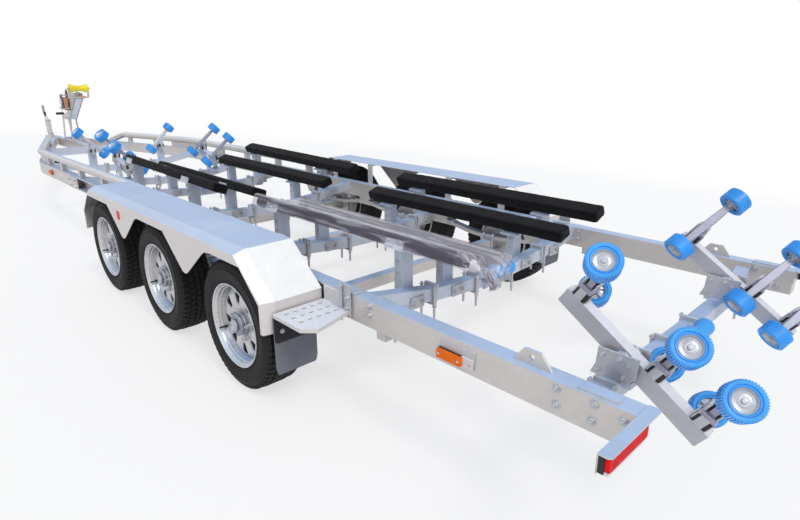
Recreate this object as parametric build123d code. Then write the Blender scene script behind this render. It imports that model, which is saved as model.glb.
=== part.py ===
from build123d import *
import math
import os

os.makedirs("parts", exist_ok=True)

# Frame: +X forward to the coupling, +Y left, +Z up, ground at z = 0, all in mm.
# Lengths along the trailer are written as distances ahead of the rear axle.
rear_axle_x = -3040.0
axle_pitch = 860.0
axle_count = 3

tyre_r = 310.0
tyre_wide = 195.0
rim_r = 195.0
wheel_y = 1012.5
hub_r = 51.0
spoke_count = 8
window_in = 98.0
window_out = 150.0
spindle_r = 23.4
axle_half = 30.0
backing_r = 120.0
leaf_thick = 24.0
running_gap = 0.6

rail_y = 806.0
rail_wide = 70.0
rail_low = 436.0
rail_high = 546.0
rail_tail = -1713.0
rear_splice = -512.0
front_splice = 3400.0

# Centre line of the front rail and of the bar above it, as (ahead, y)
nose_line = [(4550, 806), (4700, 790), (4850, 752), (7300, 95)]

member_size = 60.0
bar_r = 34.0
bar_z = 644.0

drawbar_back = 5900.0
drawbar_front = 7560.0
drawbar_half = 40.0

fender_in = 850.0
fender_break = 1080.0
fender_out = 1134.0
fender_skin = 3.0

roller_r = 57.5
roller_wide = 62.0
roller_apart = 324.0
roller_cant = 45.0

ball_r = 25.0


def ahead(d):
    return rear_axle_x + d


def save(name, pieces):
    shape = pieces[0] if len(pieces) == 1 else Compound(children=pieces)
    shape.label = name
    export_step(shape, f"parts/{name}.step")
    print(name, len(pieces), round(sum(p.volume for p in pieces) / 1e6, 2))


def both(piece):
    return [piece, mirror(piece, about=Plane.XZ)]


def block(x0, x1, y0, y1, z0, z1):
    return Pos((x0 + x1) / 2, (y0 + y1) / 2, (z0 + z1) / 2) * Box(x1 - x0, y1 - y0, z1 - z0)


def strip(points, wide):
    # A band of even width along a bent line, mitred at its corners
    left = []
    right = []
    for i, (x, y) in enumerate(points):
        legs = []
        if i > 0:
            legs.append((x - points[i - 1][0], y - points[i - 1][1]))
        if i < len(points) - 1:
            legs.append((points[i + 1][0] - x, points[i + 1][1] - y))
        units = [(a / math.hypot(a, b), b / math.hypot(a, b)) for a, b in legs]
        tx = sum(u[0] for u in units) / len(units)
        ty = sum(u[1] for u in units) / len(units)
        grow = wide / 2 / (tx * tx + ty * ty)
        left.append((x - ty * grow, y + tx * grow))
        right.append((x + ty * grow, y - tx * grow))
    return left + right[::-1]


def plan_plate(outline, z0, z1):
    face = make_face(Polyline([(ahead(x), y) for x, y in outline], close=True))
    return Pos(0, 0, z0) * extrude(face, z1 - z0)


def side_plate(outline, y0, y1):
    face = make_face(Polyline([(ahead(x), z) for x, z in outline], close=True))
    solid = extrude(Plane.XZ * face, -(y1 - y0))
    return Pos(0, y0, 0) * solid


def cross_plate(outline, x0, x1):
    face = make_face(Polyline(outline, close=True))
    return Pos(x0, 0, 0) * extrude(Plane.YZ * face, x1 - x0)


def rod(p, q, r):
    run = Vector(*q) - Vector(*p)
    base = (Align.CENTER, Align.CENTER, Align.MIN)
    return Plane(origin=p, z_dir=run) * Cylinder(r, run.length, align=base)


def tube_run(points, r):
    solid = rod(points[0], points[1], r)
    for a, b in zip(points[1:], points[2:]):
        solid += Pos(*a) * Sphere(r)
        solid += rod(a, b, r)
    return solid


def turned(profile, plane):
    # profile is (radius, along) pairs, closed onto the axis
    face = make_face(Polyline([(r, a) for r, a in profile], close=True))
    solid = revolve(Plane.XZ * face, Axis.Z)
    return plane * solid


def rail_y_at(d):
    if d <= nose_line[0][0]:
        return float(rail_y)
    for (x0, y0), (x1, y1) in zip(nose_line, nose_line[1:]):
        if d <= x1:
            return y0 + (y1 - y0) * (d - x0) / (x1 - x0)
    return float(nose_line[-1][1])


# ---- side rails -------------------------------------------------------------
inner = rail_y - rail_wide / 2
outer = rail_y + rail_wide / 2
drawbar = block(ahead(drawbar_back), ahead(drawbar_front), -drawbar_half, drawbar_half, rail_low, rail_high)

rear_rail = block(ahead(rail_tail), ahead(rear_splice), inner, outer, rail_low, rail_high)
splice_low = rail_low + 6
splice_high = rail_high - 6
rear_rail += block(ahead(rear_splice - 150), ahead(rear_splice + 120), inner - 8, inner,
                   splice_low, splice_high)
lug = side_plate([(-1450, 540), (-1300, 540), (-1345, 596), (-1405, 596)], rail_y - 5, rail_y + 5)
lug -= Pos(ahead(-1375), rail_y, 573) * Rot(90, 0, 0) * Cylinder(9, 40)
rear_rail += lug
rear_rail += block(ahead(-1660), ahead(-1545), rail_y - 20, rail_y + 25, rail_high - 1, rail_high + 8)
rear_rail += block(ahead(-730), ahead(-680), rail_y - 25, rail_y + 25, rail_low - 40, rail_low + 1)
save("rear_rails", both(rear_rail))

mid_rail = block(ahead(rear_splice), ahead(front_splice), inner, outer, rail_low, rail_high)
channel_wall = 8.0
hollow = (inner + channel_wall, outer + 1, rail_low + channel_wall, rail_high - channel_wall)
mid_rail -= block(ahead(rear_splice) - 1, ahead(front_splice) + 1, *hollow)
save("mid_rails", both(mid_rail))

front_line = [(front_splice, rail_y)] + nose_line
front_rail = plan_plate(strip(front_line, rail_wide), rail_low, rail_high)
front_rail += block(ahead(front_splice - 120), ahead(front_splice + 120), outer, outer + 8,
                    splice_low, splice_high)
front_rail -= drawbar
save("front_rails", both(front_rail))
save("drawbar", [drawbar])

# ---- upper side bars, with their posts on the rail ----------------------------
bar_path = [(2010, 806), (4550, 806), (4700, 790), (4850, 752), (5950, rail_y_at(5950))]
bar_points = [(ahead(d), y, bar_z) for d, y in bar_path]
bar_points.append((ahead(6240), rail_y_at(6240), rail_high + 14))
side_bar = tube_run(bar_points, bar_r)
side_bar += Pos(*bar_points[0]) * Sphere(bar_r)
for d in (2110, 2640, 3250, 3820, 4320, 5300, 5820):
    y = rail_y_at(d)
    side_bar += block(ahead(d) - 30, ahead(d) + 30, y - 20, y + 20, rail_high, bar_z)
web_line = [(4440, 806), (4550, 806), (4700, 790), (4850, 752), (4990, rail_y_at(4990))]
side_bar += plan_plate(strip(web_line, 14), rail_high, bar_z)
side_bar -= block(ahead(1900), ahead(6500), 200, 900, rail_low, rail_high)
save("side_bars", both(side_bar))

# ---- cross-members: mid lines across, as (y, z) --------------------------------
sag_line = [(-800, 520), (-430, 456), (-130, 430), (130, 430), (430, 456), (800, 520)]
low_line = [(-800, 500), (-600, 420), (-130, 412), (130, 412), (600, 420), (800, 500)]
members = [
    # ahead, line
    (-1515, low_line),
    (-595, sag_line),
    (380, sag_line),
    (1500, sag_line),
    (2550, sag_line),
    (3300, sag_line),
    (4450, sag_line),
]
between = Box(12000, 2 * inner, 2000)
cross = []
for d, line in members:
    piece = cross_plate(strip(line, member_size), ahead(d) - member_size / 2, ahead(d) + member_size / 2)
    piece = piece & between
    for rail in both(rear_rail):
        piece -= rail
    cross.append(piece)
tie_y = rail_y_at(5880) + 60
tie = block(ahead(5850), ahead(5900), -tie_y, tie_y, rail_low + 10, rail_high - 10)
for piece in both(front_rail):
    tie -= piece
cross.append(tie.solids().sort_by(SortBy.VOLUME)[-1])
save("cross_members", cross)

# ---- axles, springs ------------------------------------------------------------
axles = []
for i in range(axle_count):
    x = ahead(i * axle_pitch)
    beam = block(x - axle_half, x + axle_half, -outer - 9, outer + 9, tyre_r - axle_half, tyre_r + axle_half)
    for side in (-1, 1):
        beam += rod((x, side * (outer + 3), tyre_r), (x, side * (outer + 27), tyre_r), backing_r)
        beam += rod((x, side * (outer + 19), tyre_r), (x, side * (wheel_y - 12.5), tyre_r), spindle_r)
    axles.append(beam)
save("axles", axles)

seat_z = tyre_r + axle_half + leaf_thick / 2 + 1
eye_z = rail_low - 44
arch_z = seat_z + (eye_z - seat_z) / 3
spring_line = [(-330, eye_z), (-170, arch_z), (0, seat_z), (170, arch_z), (330, eye_z)]
spring = None
for i in range(axle_count):
    band = strip([(x + i * axle_pitch, z) for x, z in spring_line], leaf_thick)
    leaf = side_plate(band, rail_y - 30, rail_y + 24)
    spring = leaf if spring is None else spring + leaf
for i in range(axle_count + 1):
    mid = (i - 0.5) * axle_pitch
    reach = 115 if 0 < i < axle_count else 40
    shift = 95 if i == 0 else (-95 if i == axle_count else 0)
    spring += block(ahead(mid + shift) - reach, ahead(mid + shift) + reach, rail_y - 30, rail_y + 24,
                    eye_z - 14, eye_z + 16)
    hang = [(mid + shift - 65, rail_low), (mid + shift + 65, rail_low), (mid + shift + 38, eye_z - 8),
            (mid + shift - 38, eye_z - 8)]
    spring += side_plate(hang, rail_y - 30, rail_y + 24)
save("leaf_springs", both(spring))

# ---- wheels ----------------------------------------------------------------------
half = tyre_wide / 2
tyre_profile = [
    # radius, along
    (rim_r - 6, -half + 26), (rim_r + 14, -half + 8), (rim_r + 52, -half), (tyre_r - 30, -half + 6),
    (tyre_r - 7, -half + 22), (tyre_r, -half + 42), (tyre_r, half - 42), (tyre_r - 7, half - 22),
    (tyre_r - 30, half - 6), (rim_r + 52, half), (rim_r + 14, half - 8), (rim_r - 6, half - 26),
]
rim_profile = [
    (rim_r - 22, -71), (rim_r - 6, -71), (rim_r - 6, 72), (rim_r + 6, 86), (rim_r + 6, 92), (rim_r - 8, 92),
    (rim_r - 18, 74), (rim_r - 18, 34), (rim_r - 36, 22), (rim_r - 36, -38), (rim_r - 22, -50),
]
wheel_names = [(i, side) for i in range(axle_count) for side in (1, -1)]
row_names = ["rear", "mid", "front"]
for i, side in wheel_names:
    label = row_names[i] + ("_left" if side > 0 else "_right")
    place = Plane(origin=(ahead(i * axle_pitch), side * wheel_y, tyre_r), z_dir=(0, side, 0))
    save("tyre_" + label, [turned(tyre_profile, place)])
    rim = turned(rim_profile, place)
    bore = spindle_r + running_gap
    disc = [(bore, 30), (66, 30), (88, 40), (140, 40), (rim_r - 18, 26), (rim_r - 18, 34), (152, 50),
            (90, 50), (74, 44), (hub_r, 44), (hub_r, 74), (hub_r - 8, 79), (bore, 79)]
    rim += turned(disc, place)
    rim += place * Pos(0, 0, 78) * Cylinder(27, 12)
    for k in range(spoke_count):
        window = [(window_in - 4, -9), (window_in - 4, 9), (window_out, 29), (window_out, -29)]
        hole = Polyline(window, close=True)
        cut = Pos(0, 0, 20) * extrude(fillet(make_face(hole).vertices(), 8), 60)
        rim -= place * Rot(0, 0, 360 / spoke_count * k) * cut
    drum = [(bore, -138), (118, -138), (125, -130), (125, -70), (100, -60), (60, -50), (60, 35), (bore, 35)]
    rim += turned(drum, place)
    save("rim_" + label, [rim])

# ---- fenders -------------------------------------------------------------------------
reach = 2 * axle_pitch
rear_out = [(-335, 380), (-345, 525), (-135, 703)]
rear_edge = [(-322, 380), (-312, 518), (-122, 682)]
shell_out = rear_out + [(reach - d, z) for d, z in rear_out[::-1]]
shell_edge = rear_edge + [(reach - d, z) for d, z in rear_edge[::-1]]


def section(outline, y):
    return make_face(Polyline([(ahead(d), y, z) for d, z in outline], close=True))


def inset(outline, by):
    cx = axle_pitch
    rows = []
    for d, z in outline:
        rows.append((d - math.copysign(by, d - cx), z - by if z > 600 else z))
    return rows


def shell(inset_by, y0, y2):
    top = inset(shell_out, inset_by)
    edge = inset(shell_edge, inset_by)
    body = loft([section(top, y0), section(top, fender_break)], ruled=True)
    lip = loft([section(top, fender_break), section(edge, y2)], ruled=True)
    return body + lip


fender = shell(0, fender_in, fender_out)
fender -= shell(fender_skin, fender_in - 20, fender_out - fender_skin)
fender -= block(ahead(-500), ahead(2300), 800, 1200, 300, 382)
arch_top = 640.0
arch_low = 454.0
arch_front = 150.0
arch_back = 232.0
tip_back = 458.0
tip_round = 60.0
arch = [(-303, 300), (-303, 508), (-165, arch_top)]
for i in range(axle_count):
    d = i * axle_pitch
    if i > 0:
        arch += [(d - tip_back, arch_low), (d - arch_back, arch_top)]
    if i < axle_count - 1:
        arch.append((d + arch_front, arch_top))
arch += [(reach + 165, arch_top), (reach + 303, 508), (reach + 303, 300)]
arch_cut = side_plate(arch, fender_out - 20, fender_out + 5)
upright = arch_cut.edges().filter_by(Axis.Y)
tips = [e for e in upright if abs(e.center().Z - arch_low) < 1]
arch_cut = fillet(tips, tip_round)
crowns = []
for e in arch_cut.edges().filter_by(Axis.Y):
    spot = e.center()
    for i in range(axle_count - 1):
        if abs(spot.Z - arch_top) < 1 and abs(spot.X - ahead(i * axle_pitch + arch_front)) < 1:
            crowns.append(e)
arch_cut = fillet(crowns, 130)
fender -= arch_cut
for d in (-40, 430, 1290, 1760):
    fender += block(ahead(d) - 25, ahead(d) + 25, outer, fender_in, 446, 700)
    fender += block(ahead(d) - 25, ahead(d) + 25, outer, 930, 690, 701)
for side, label in ((0, "left"), (1, "right")):
    save("fender_" + label, [both(fender)[side]])

# ---- step plates and mud flaps behind the wheels -------------------------------------
slot_wide = 9.0
slot_long = 22.0
step_line = [(-352, outer), (-352, 1100), (-545, 1100), (-592, 1050), (-535, outer)]
step = plan_plate(step_line, 462, 478)
for row in range(3):
    for col in range(5):
        step -= Pos(ahead(-390 - 52 * row), 890 + 42 * col, 470) * Box(slot_wide, slot_long, 40)
step += block(ahead(-530), ahead(-360), outer, outer + 8, 448, 540)
save("steps", both(step))

flap = block(ahead(-350), ahead(-344), 895, 1098, 195, 462)
flap += block(ahead(-358), ahead(-350), 890, 1100, 350, 462)
save("mud_flaps", both(flap))

# ---- lamps ----------------------------------------------------------------------------
lamp_in = 770.0
lamp_out = 1060.0
lamp_high = 545.0
lamp_tall = 53.0
plate_thick = 4.0
lamp_plate = 42.0
back_x = rail_tail - 6
housing = block(ahead(back_x), ahead(rail_tail), inner, outer, rail_low, lamp_high)
housing += block(ahead(back_x - plate_thick), ahead(back_x), lamp_in, lamp_out, lamp_high - lamp_tall,
                 lamp_high)
cover = block(ahead(rail_tail - lamp_plate), ahead(back_x), lamp_in, lamp_out, lamp_high,
              lamp_high + plate_thick)
corners = cover.edges().filter_by(Axis.Z).sort_by(Axis.X)[:2]
housing += fillet(corners, 14)
save("lamp_housings", both(housing))
lamp = block(ahead(rail_tail - lamp_plate + 2), ahead(back_x - plate_thick), lamp_in + 73, lamp_out - 2,
             lamp_high - lamp_tall, lamp_high)
lamp = fillet(lamp.edges().filter_by(Axis.Z).sort_by(Axis.X)[:2], 8)
save("tail_lamps", both(lamp))

marker_plate = block(ahead(-1185), ahead(-1025), outer, outer + 4, 470, 530)
side_lamp = block(ahead(-1135), ahead(-1022), outer + 4, outer + 22, 458, 496) + marker_plate
front_mark = block(ahead(4110), ahead(4210), outer, outer + 22, 470, 510)
save("side_lamps", both(side_lamp) + both(front_mark))

# ---- bunks: centre y, z at each end, ahead of each end, tilt ---------------------------
bunk_wide = 100.0
bunk_tall = 62.0
flange_gap = 1.0
bunk_rows = [
    # name, back, front, y, z back, z front, tilt
    ("front", 1130, 2720, 548, 708, 742, 22),
    ("front", 1120, 2750, 278, 642, 658, 18),
    ("rear", -880, 612, 548, 706, 708, 22),
    ("rear", -840, 600, 278, 642, 646, 18),
]
bunks = {"front": [], "rear": []}


def bunk_plane(row, off):
    name, back, front, y, z0, z1, tilt = row
    mid = Vector(ahead((back + front) / 2), y, (z0 + z1) / 2)
    run = Vector(front - back, 0, z1 - z0)
    plane = Plane(origin=mid, x_dir=run, z_dir=(-(z1 - z0), 0, front - back))
    return plane * Rot(tilt, 0, 0) * Pos(0, 0, off)


for row in bunk_rows:
    long = math.hypot(row[2] - row[1], row[5] - row[4])
    bar = Box(long, bunk_wide, bunk_tall)
    bar = fillet(bar.edges().filter_by(Axis.X), 12)
    bunks[row[0]] += both(bunk_plane(row, 0) * bar)
save("bunks_front", bunks["front"])
save("bunks_rear", bunks["rear"])

post_wide = 70.0
bunk_posts = []
for row, spots in ((0, (1500, 2550)), (1, (1500, 2550)), (2, (-595, 380)), (3, (-595, 380))):
    name, back, front, y, z0, z1, tilt = bunk_rows[row]
    for d in spots:
        x = ahead(d) + member_size / 2
        z = z0 + (z1 - z0) * (d + 52 - back) / (front - back)
        along = (d + 52 - (back + front) / 2) * math.hypot(1, (z1 - z0) / (front - back))
        seat = bunk_plane(bunk_rows[row], -bunk_tall / 2) * Pos(along, 0, 0)
        top = z - bunk_tall / 2 - 12
        post = block(x, x + 45, y - post_wide / 2, y + post_wide / 2, 396, top + 30)
        post -= block(x + 6, x + 50, y - post_wide / 2 + 6, y + post_wide / 2 - 6, 390, top + 60)
        post -= seat * Pos(0, 0, 196) * Box(400, 400, 400)
        cap = seat * Pos(0, (flange_gap + 5 - 16) / 2, -4) * Box(110, bunk_wide + flange_gap + 5 + 16, 8)
        cap += seat * Pos(0, bunk_wide / 2 + flange_gap + 2.5, 13) * Box(110, 5, 42)
        piece = post + cap
        bunk_posts += both(piece)
save("bunk_brackets", bunk_posts)

# ---- roller cradles ----------------------------------------------------------------------
arm_drop = 125.0
arm_wide = 52.0
arm_thick = 26.0
arm_gap = 9.0
pin_r = 10.0


def cradle_plane(d, y, z, tilt):
    # u runs forward along the arm, v outboard, w up from it
    t = math.radians(tilt)
    u = (math.cos(t), 0, math.sin(t))
    w = (-math.sin(t), 0, math.cos(t))
    return Plane(origin=(ahead(d), y, z), x_dir=u, z_dir=w)


def axle_arm(spot):
    # A flat bar along the canted axle, widest where it is clamped
    half = roller_apart / 2 - roller_wide / 2 - arm_gap
    plan = [(-17, -half), (-arm_wide / 2, -38), (-arm_wide / 2, 38), (-17, half),
            (17, half), (arm_wide / 2, 38), (arm_wide / 2, -38), (17, -half)]
    bar = extrude(Plane.XZ * make_face(Polyline(plan, close=True)), arm_thick / 2, both=True)
    return spot * Rot(-90 + roller_cant, 0, 0) * bar


def carrier(plane, u):
    spot = plane * Pos(u, 0, 0)
    piece = spot * Pos(0, 0, -68) * Box(58, 56, 56)
    piece += spot * Pos(0, 0, -30) * Box(24, 40, 50)
    piece += axle_arm(spot)
    return piece


def carrier_bore(plane, u):
    return plane * Pos(u, 0, 0) * Rot(-90 + roller_cant, 0, 0) * Cylinder(pin_r + 1, 400)


def roller_pair(plane, u):
    line = plane * Pos(u, 0, 0) * Rot(-90 + roller_cant, 0, 0)
    pair = line * Cylinder(pin_r, roller_apart + 40)
    wide = roller_wide / 2
    half_shape = [(9, -18), (34, -18), (44, -wide), (roller_r - 4, -wide), (roller_r, -wide + 5)]
    shape = half_shape + [(r, -a) for r, a in half_shape[::-1]]
    for end in (-1, 1):
        hub = turned(shape, Plane.XY)
        pair += line * Pos(0, 0, end * roller_apart / 2) * hub
    return pair


# name, ahead, y, z, tilt, pivot along the arm, arm back, arm front, roller places along it
rear_u = (330.0, 0.0, -180.0)
rear_spot = (-1680, 500, 575, 34)
rear_plane = cradle_plane(*rear_spot)
pivot_u = 93.0


def arm_box(plane, back, front):
    piece = plane * Pos((back + front) / 2, 0, -arm_drop) * Box(front - back, 50, 60)
    piece -= plane * Pos((back + front) / 2 - 1, 0, -arm_drop - 6) * Box(front - back + 10, 38, 60)
    return piece


rear_arm = arm_box(rear_plane, -225, 375)
rear_arm += rear_plane * Pos(pivot_u, 0, -arm_drop) * Box(120, 50, 60)
for u in rear_u:
    rear_arm += carrier(rear_plane, u)
for u in rear_u:
    rear_arm -= carrier_bore(rear_plane, u)
pivot_line = rear_plane * Pos(pivot_u, 0, -arm_drop) * Rot(90, 0, 0)
rear_arm -= pivot_line * Cylinder(13, 200)
for side, label in ((0, "left"), (1, "right")):
    save("rear_rocker_" + label, [both(rear_arm)[side]])
for k, u in enumerate(rear_u):
    pair = both(roller_pair(rear_plane, u))
    save(f"rear_rollers_{k + 1}_left", [pair[0]])
    save(f"rear_rollers_{k + 1}_right", [pair[1]])

front_u = (155.0, -155.0)
front_plane = cradle_plane(3300, 430, 728, 14)
front_pivot = 12.0
front_arm = arm_box(front_plane, -200, 200)
front_arm += front_plane * Pos(front_pivot, 0, -arm_drop) * Box(120, 50, 60)
for u in front_u:
    front_arm += carrier(front_plane, u)
for u in front_u:
    front_arm -= carrier_bore(front_plane, u)
front_line2 = front_plane * Pos(front_pivot, 0, -arm_drop) * Rot(90, 0, 0)
front_arm -= front_line2 * Cylinder(13, 200)
for side, label in ((0, "left"), (1, "right")):
    save("front_rocker_" + label, [both(front_arm)[side]])
for k, u in enumerate(front_u):
    pair = both(roller_pair(front_plane, u))
    save(f"front_rollers_{k + 1}_left", [pair[0]])
    save(f"front_rollers_{k + 1}_right", [pair[1]])
nose_plane = cradle_plane(4450, 365, 712, 0)
pair = both(roller_pair(nose_plane, 0))
save("nose_rollers_left", [pair[0]])
save("nose_rollers_right", [pair[1]])

# Brackets that carry the cradles and the keel rollers
mounts = []


def clevis(plane, u, foot_x, foot_z, y):
    spot = plane.from_local_coords(Vector(u, 0, -arm_drop))
    piece = None
    for s in (-1, 1):
        outline = [(foot_x - 60, foot_z), (foot_x + 60, foot_z), (spot.X - rear_axle_x + 30, spot.Z + 8),
                   (spot.X - rear_axle_x + 12, spot.Z + 28), (spot.X - rear_axle_x - 12, spot.Z + 28),
                   (spot.X - rear_axle_x - 30, spot.Z + 8)]
        ear = side_plate(outline, y + s * 35 - 4, y + s * 35 + 4)
        piece = ear if piece is None else piece + ear
    piece += rod((spot.X, y - 45, spot.Z), (spot.X, y + 45, spot.Z), 12)
    return piece


rear_clevis = clevis(rear_plane, pivot_u, -1515, 430, 500)
rear_clevis += block(ahead(-1575), ahead(-1455), 461, 539, 430, 452)
front_clevis = clevis(front_plane, front_pivot, 3300, 470, 430)
front_clevis += block(ahead(3240), ahead(3360), 391, 469, 470, 490)
for piece in cross:
    rear_clevis -= piece
    front_clevis -= piece
mounts += both(rear_clevis.solids().sort_by(SortBy.VOLUME)[-1])
mounts += both(front_clevis.solids().sort_by(SortBy.VOLUME)[-1])
nose_post = block(ahead(4480), ahead(4492), 325, 405, 400, 640)
nose_post += block(ahead(4425), ahead(4492), 341, 389, 600, 690)
nose_post += axle_arm(nose_plane)
nose_post -= nose_plane * Rot(-90 + roller_cant, 0, 0) * Cylinder(pin_r + 1, 400)
mounts += both(nose_post)

keel_r = 35.0
keel_rows = [
    # ahead, z, member face, waist
    (-1590, 462, -1545, 10),
    (-670, 486, -625, 1),
    (2475, 486, 2520, 1),
]
for k, (d, z, face, waist) in enumerate(keel_rows):
    keel_profile = [(8, -72), (keel_r - 3, -72), (keel_r, -69), (keel_r, -52), (keel_r - waist, -16),
                    (keel_r - waist, 16), (keel_r, 52), (keel_r, 69), (keel_r - 3, 72), (8, 72)]
    roller = turned(keel_profile, Plane(origin=(ahead(d), 0, z), z_dir=(0, 1, 0)))
    save(f"keel_roller_{k + 1}", [roller])
    hold = None
    for s in (-1, 1):
        outline = [(face, 392), (face, z + 14), (d + 16, z + 16), (d - 16, z + 16), (d - 16, z - 16),
                   (face - 12, 392)]
        ear = side_plate(outline, s * 82 - 4, s * 82 + 4)
        hold = ear if hold is None else hold + ear
    hold += block(ahead(face) - 8, ahead(face), -86, 86, 392, 442)
    hold += rod((ahead(d), -86, z), (ahead(d), 86, z), 7)
    mounts.append(hold)
save("roller_mounts", mounts)

# ---- winch post, winch, bow roller ---------------------------------------------------
bow_x = 5958.0
bow_z = 1250.0
bow_half = 104.0
bow_r = 53.0
cheek_y = 44.0
post = None
for s in (-1, 1):
    y0, y1 = (s * cheek_y - 4, s * cheek_y + 4)
    for leg in (strip([(6850, 540), (6730, 900)], 50), strip([(6435, 540), (6500, 900)], 50)):
        piece = side_plate(leg, y0, y1)
        post = piece if post is None else post + piece
    post += side_plate([(6780, 838), (6450, 838), (5985, 1130), (5990, 1190), (6265, 1212), (6330, 1120),
                        (6500, 940), (6780, 890)], y0, y1)
post += block(ahead(6215), ahead(6265), -cheek_y, cheek_y, 1110, 1190)
post += block(ahead(6490), ahead(6740), -cheek_y, cheek_y, 846, 862)
post += block(ahead(6390), ahead(6900), -cheek_y - 4, cheek_y + 4, rail_high, rail_high + 8)
post -= block(ahead(6300), ahead(7200), -100, 100, 300, rail_high)
for s in (-1, 1):
    post += side_plate([(6040, 1130), (5990, 1130), (bow_x - 20, bow_z + 10), (bow_x, bow_z + 22),
                        (bow_x + 20, bow_z + 10)], s * (bow_half + 10) - 3, s * (bow_half + 10) + 3)
post += block(ahead(5990), ahead(6040), -bow_half - 13, bow_half + 13, 1132, 1148)
post += rod((ahead(bow_x), -bow_half - 16, bow_z), (ahead(bow_x), bow_half + 16, bow_z), pin_r)
save("winch_post", [post])
bow_profile = [(pin_r + 1, -bow_half), (bow_r, -bow_half), (bow_r, 22 - bow_half), (bow_r - 22, -32),
               (bow_r - 22, 32), (bow_r, bow_half - 22), (bow_r, bow_half), (pin_r + 1, bow_half)]
save("bow_roller", [turned(bow_profile, Plane(origin=(ahead(bow_x), 0, bow_z), z_dir=(0, 1, 0)))])

winch_x = 6330.0
winch_z = 1080.0
case_in = cheek_y + 4
winch = block(ahead(winch_x - 60), ahead(winch_x + 75), case_in, case_in + 22, 965, 1235)
winch += block(ahead(winch_x - 60), ahead(winch_x + 75), 126, 136, 985, 1215)
winch += block(ahead(winch_x - 60), ahead(winch_x - 48), case_in, 136, 985, 1215)
winch += rod((ahead(winch_x + 30), case_in, winch_z), (ahead(winch_x + 30), 134, winch_z), 60)
winch += rod((ahead(winch_x), 130, 1010), (ahead(winch_x), 158, 1010), 12)
winch += rod((ahead(winch_x), 150, 1010), (ahead(6245), 150, 938), 9)
winch += rod((ahead(6245), 143, 938), (ahead(6245), 236, 938), 16)
save("winch", [winch])

# ---- coupling and hand brake ------------------------------------------------------------
mid_z = (rail_low + rail_high) / 2
coupling = rod((ahead(drawbar_front), 0, mid_z), (ahead(7860), 0, mid_z), 34)
coupling += block(ahead(drawbar_front), ahead(7690), -52, 52, rail_low + 4, rail_high - 4)
head = block(ahead(7820), ahead(7990), -42, 42, 432, 530)
head += Pos(ahead(7990), 0, 478) * Cylinder(46, 100)
head = head - Pos(ahead(7990), 0, 440) * Cylinder(ball_r + 0.5, 60)
head -= Pos(ahead(7990), 0, 468) * Sphere(ball_r + 0.5)
coupling += head
coupling += tube_run([(ahead(7850), 0, 525), (ahead(7820), 0, 566), (ahead(7700), 0, 566)], 14)
save("coupling", [coupling])
lever = block(ahead(7640), ahead(7680), 52, 62, 470, 640)
lever += side_plate([(7645, 620), (7680, 620), (7735, 900), (7710, 905)], 52, 62)
lever += rod((ahead(7716), 57, 860), (ahead(7738), 57, 985), 15)
save("handbrake", [lever])

# ---- jockey wheel on the drawbar's left side ----------------------------------------------
jock_x = ahead(7440)
jock_y = 86.0
leg_r = 26.0
tube = rod((jock_x, jock_y, 405), (jock_x, jock_y, 800), 30)
tube -= rod((jock_x, jock_y, 400), (jock_x, jock_y, 790), leg_r + running_gap)
tube += block(jock_x - 40, jock_x + 40, drawbar_half, jock_y - 27.5, 450, 532)
tube += rod((jock_x, jock_y, 799), (jock_x, jock_y, 826), 9)
tube += rod((jock_x - 4, jock_y, 822), (jock_x + 110, jock_y, 822), 8)
tube += rod((jock_x + 104, jock_y, 816), (jock_x + 104, jock_y, 900), 12)
save("jockey_tube", [tube])
jock_r = 100.0
fork_top = 2 * jock_r + 18
leg = rod((jock_x, jock_y, fork_top), (jock_x, jock_y, 595), leg_r)
save("jockey_leg", [leg])
trail = 42.0
fork = rod((jock_x, jock_y, fork_top - 12), (jock_x, jock_y, fork_top), 32)
fork += block(jock_x - trail - 30, jock_x + 32, jock_y - 44, jock_y + 44, fork_top - 12, fork_top - 3)
for s in (-1, 1):
    cheek = [(7440 - trail - 30, fork_top - 4), (7440 + 24, fork_top - 4), (7440 - trail + 18, jock_r - 16),
             (7440 - trail - 18, jock_r - 16)]
    fork += side_plate(cheek, jock_y + s * 41 - 3, jock_y + s * 41 + 3)
fork += rod((jock_x - trail, jock_y - 44, jock_r), (jock_x - trail, jock_y + 44, jock_r), 8)
save("jockey_fork", [fork])
jock_wheel = [(9, -32), (30, -32), (40, -20), (72, -20), (76, -28), (90, -28), (100, -16), (100, 16),
              (90, 28), (76, 28), (72, 20), (40, 20), (30, 32), (9, 32)]
save("jockey_wheel", [turned(jock_wheel, Plane(origin=(jock_x - trail, jock_y, 100), z_dir=(0, 1, 0)))])
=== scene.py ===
import math

import bmesh
import bpy
from mathutils import Matrix, Vector, noise


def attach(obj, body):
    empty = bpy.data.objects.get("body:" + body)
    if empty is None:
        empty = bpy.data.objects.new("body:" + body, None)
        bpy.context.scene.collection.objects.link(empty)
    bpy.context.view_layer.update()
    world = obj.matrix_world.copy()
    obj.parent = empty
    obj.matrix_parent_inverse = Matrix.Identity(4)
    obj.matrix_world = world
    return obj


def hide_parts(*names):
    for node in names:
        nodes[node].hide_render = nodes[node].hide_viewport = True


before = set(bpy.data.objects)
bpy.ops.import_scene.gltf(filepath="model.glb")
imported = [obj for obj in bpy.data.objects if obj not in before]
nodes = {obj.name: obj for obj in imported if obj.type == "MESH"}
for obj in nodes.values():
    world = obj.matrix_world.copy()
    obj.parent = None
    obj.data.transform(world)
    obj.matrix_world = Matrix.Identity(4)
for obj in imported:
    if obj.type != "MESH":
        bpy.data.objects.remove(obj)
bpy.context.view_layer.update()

rearAxle = -3.04  # the trailer's places are given ahead of this axle, in metres
axlePitch = 0.86
railOut = 0.841  # outer faces of the rear rails
sides = (("left", 1), ("right", -1))
still = Matrix.Identity(4)
print("frame loaded,", len(nodes), "nodes")


# meshes
def ahead(distance):
    return rearAxle + distance


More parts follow.
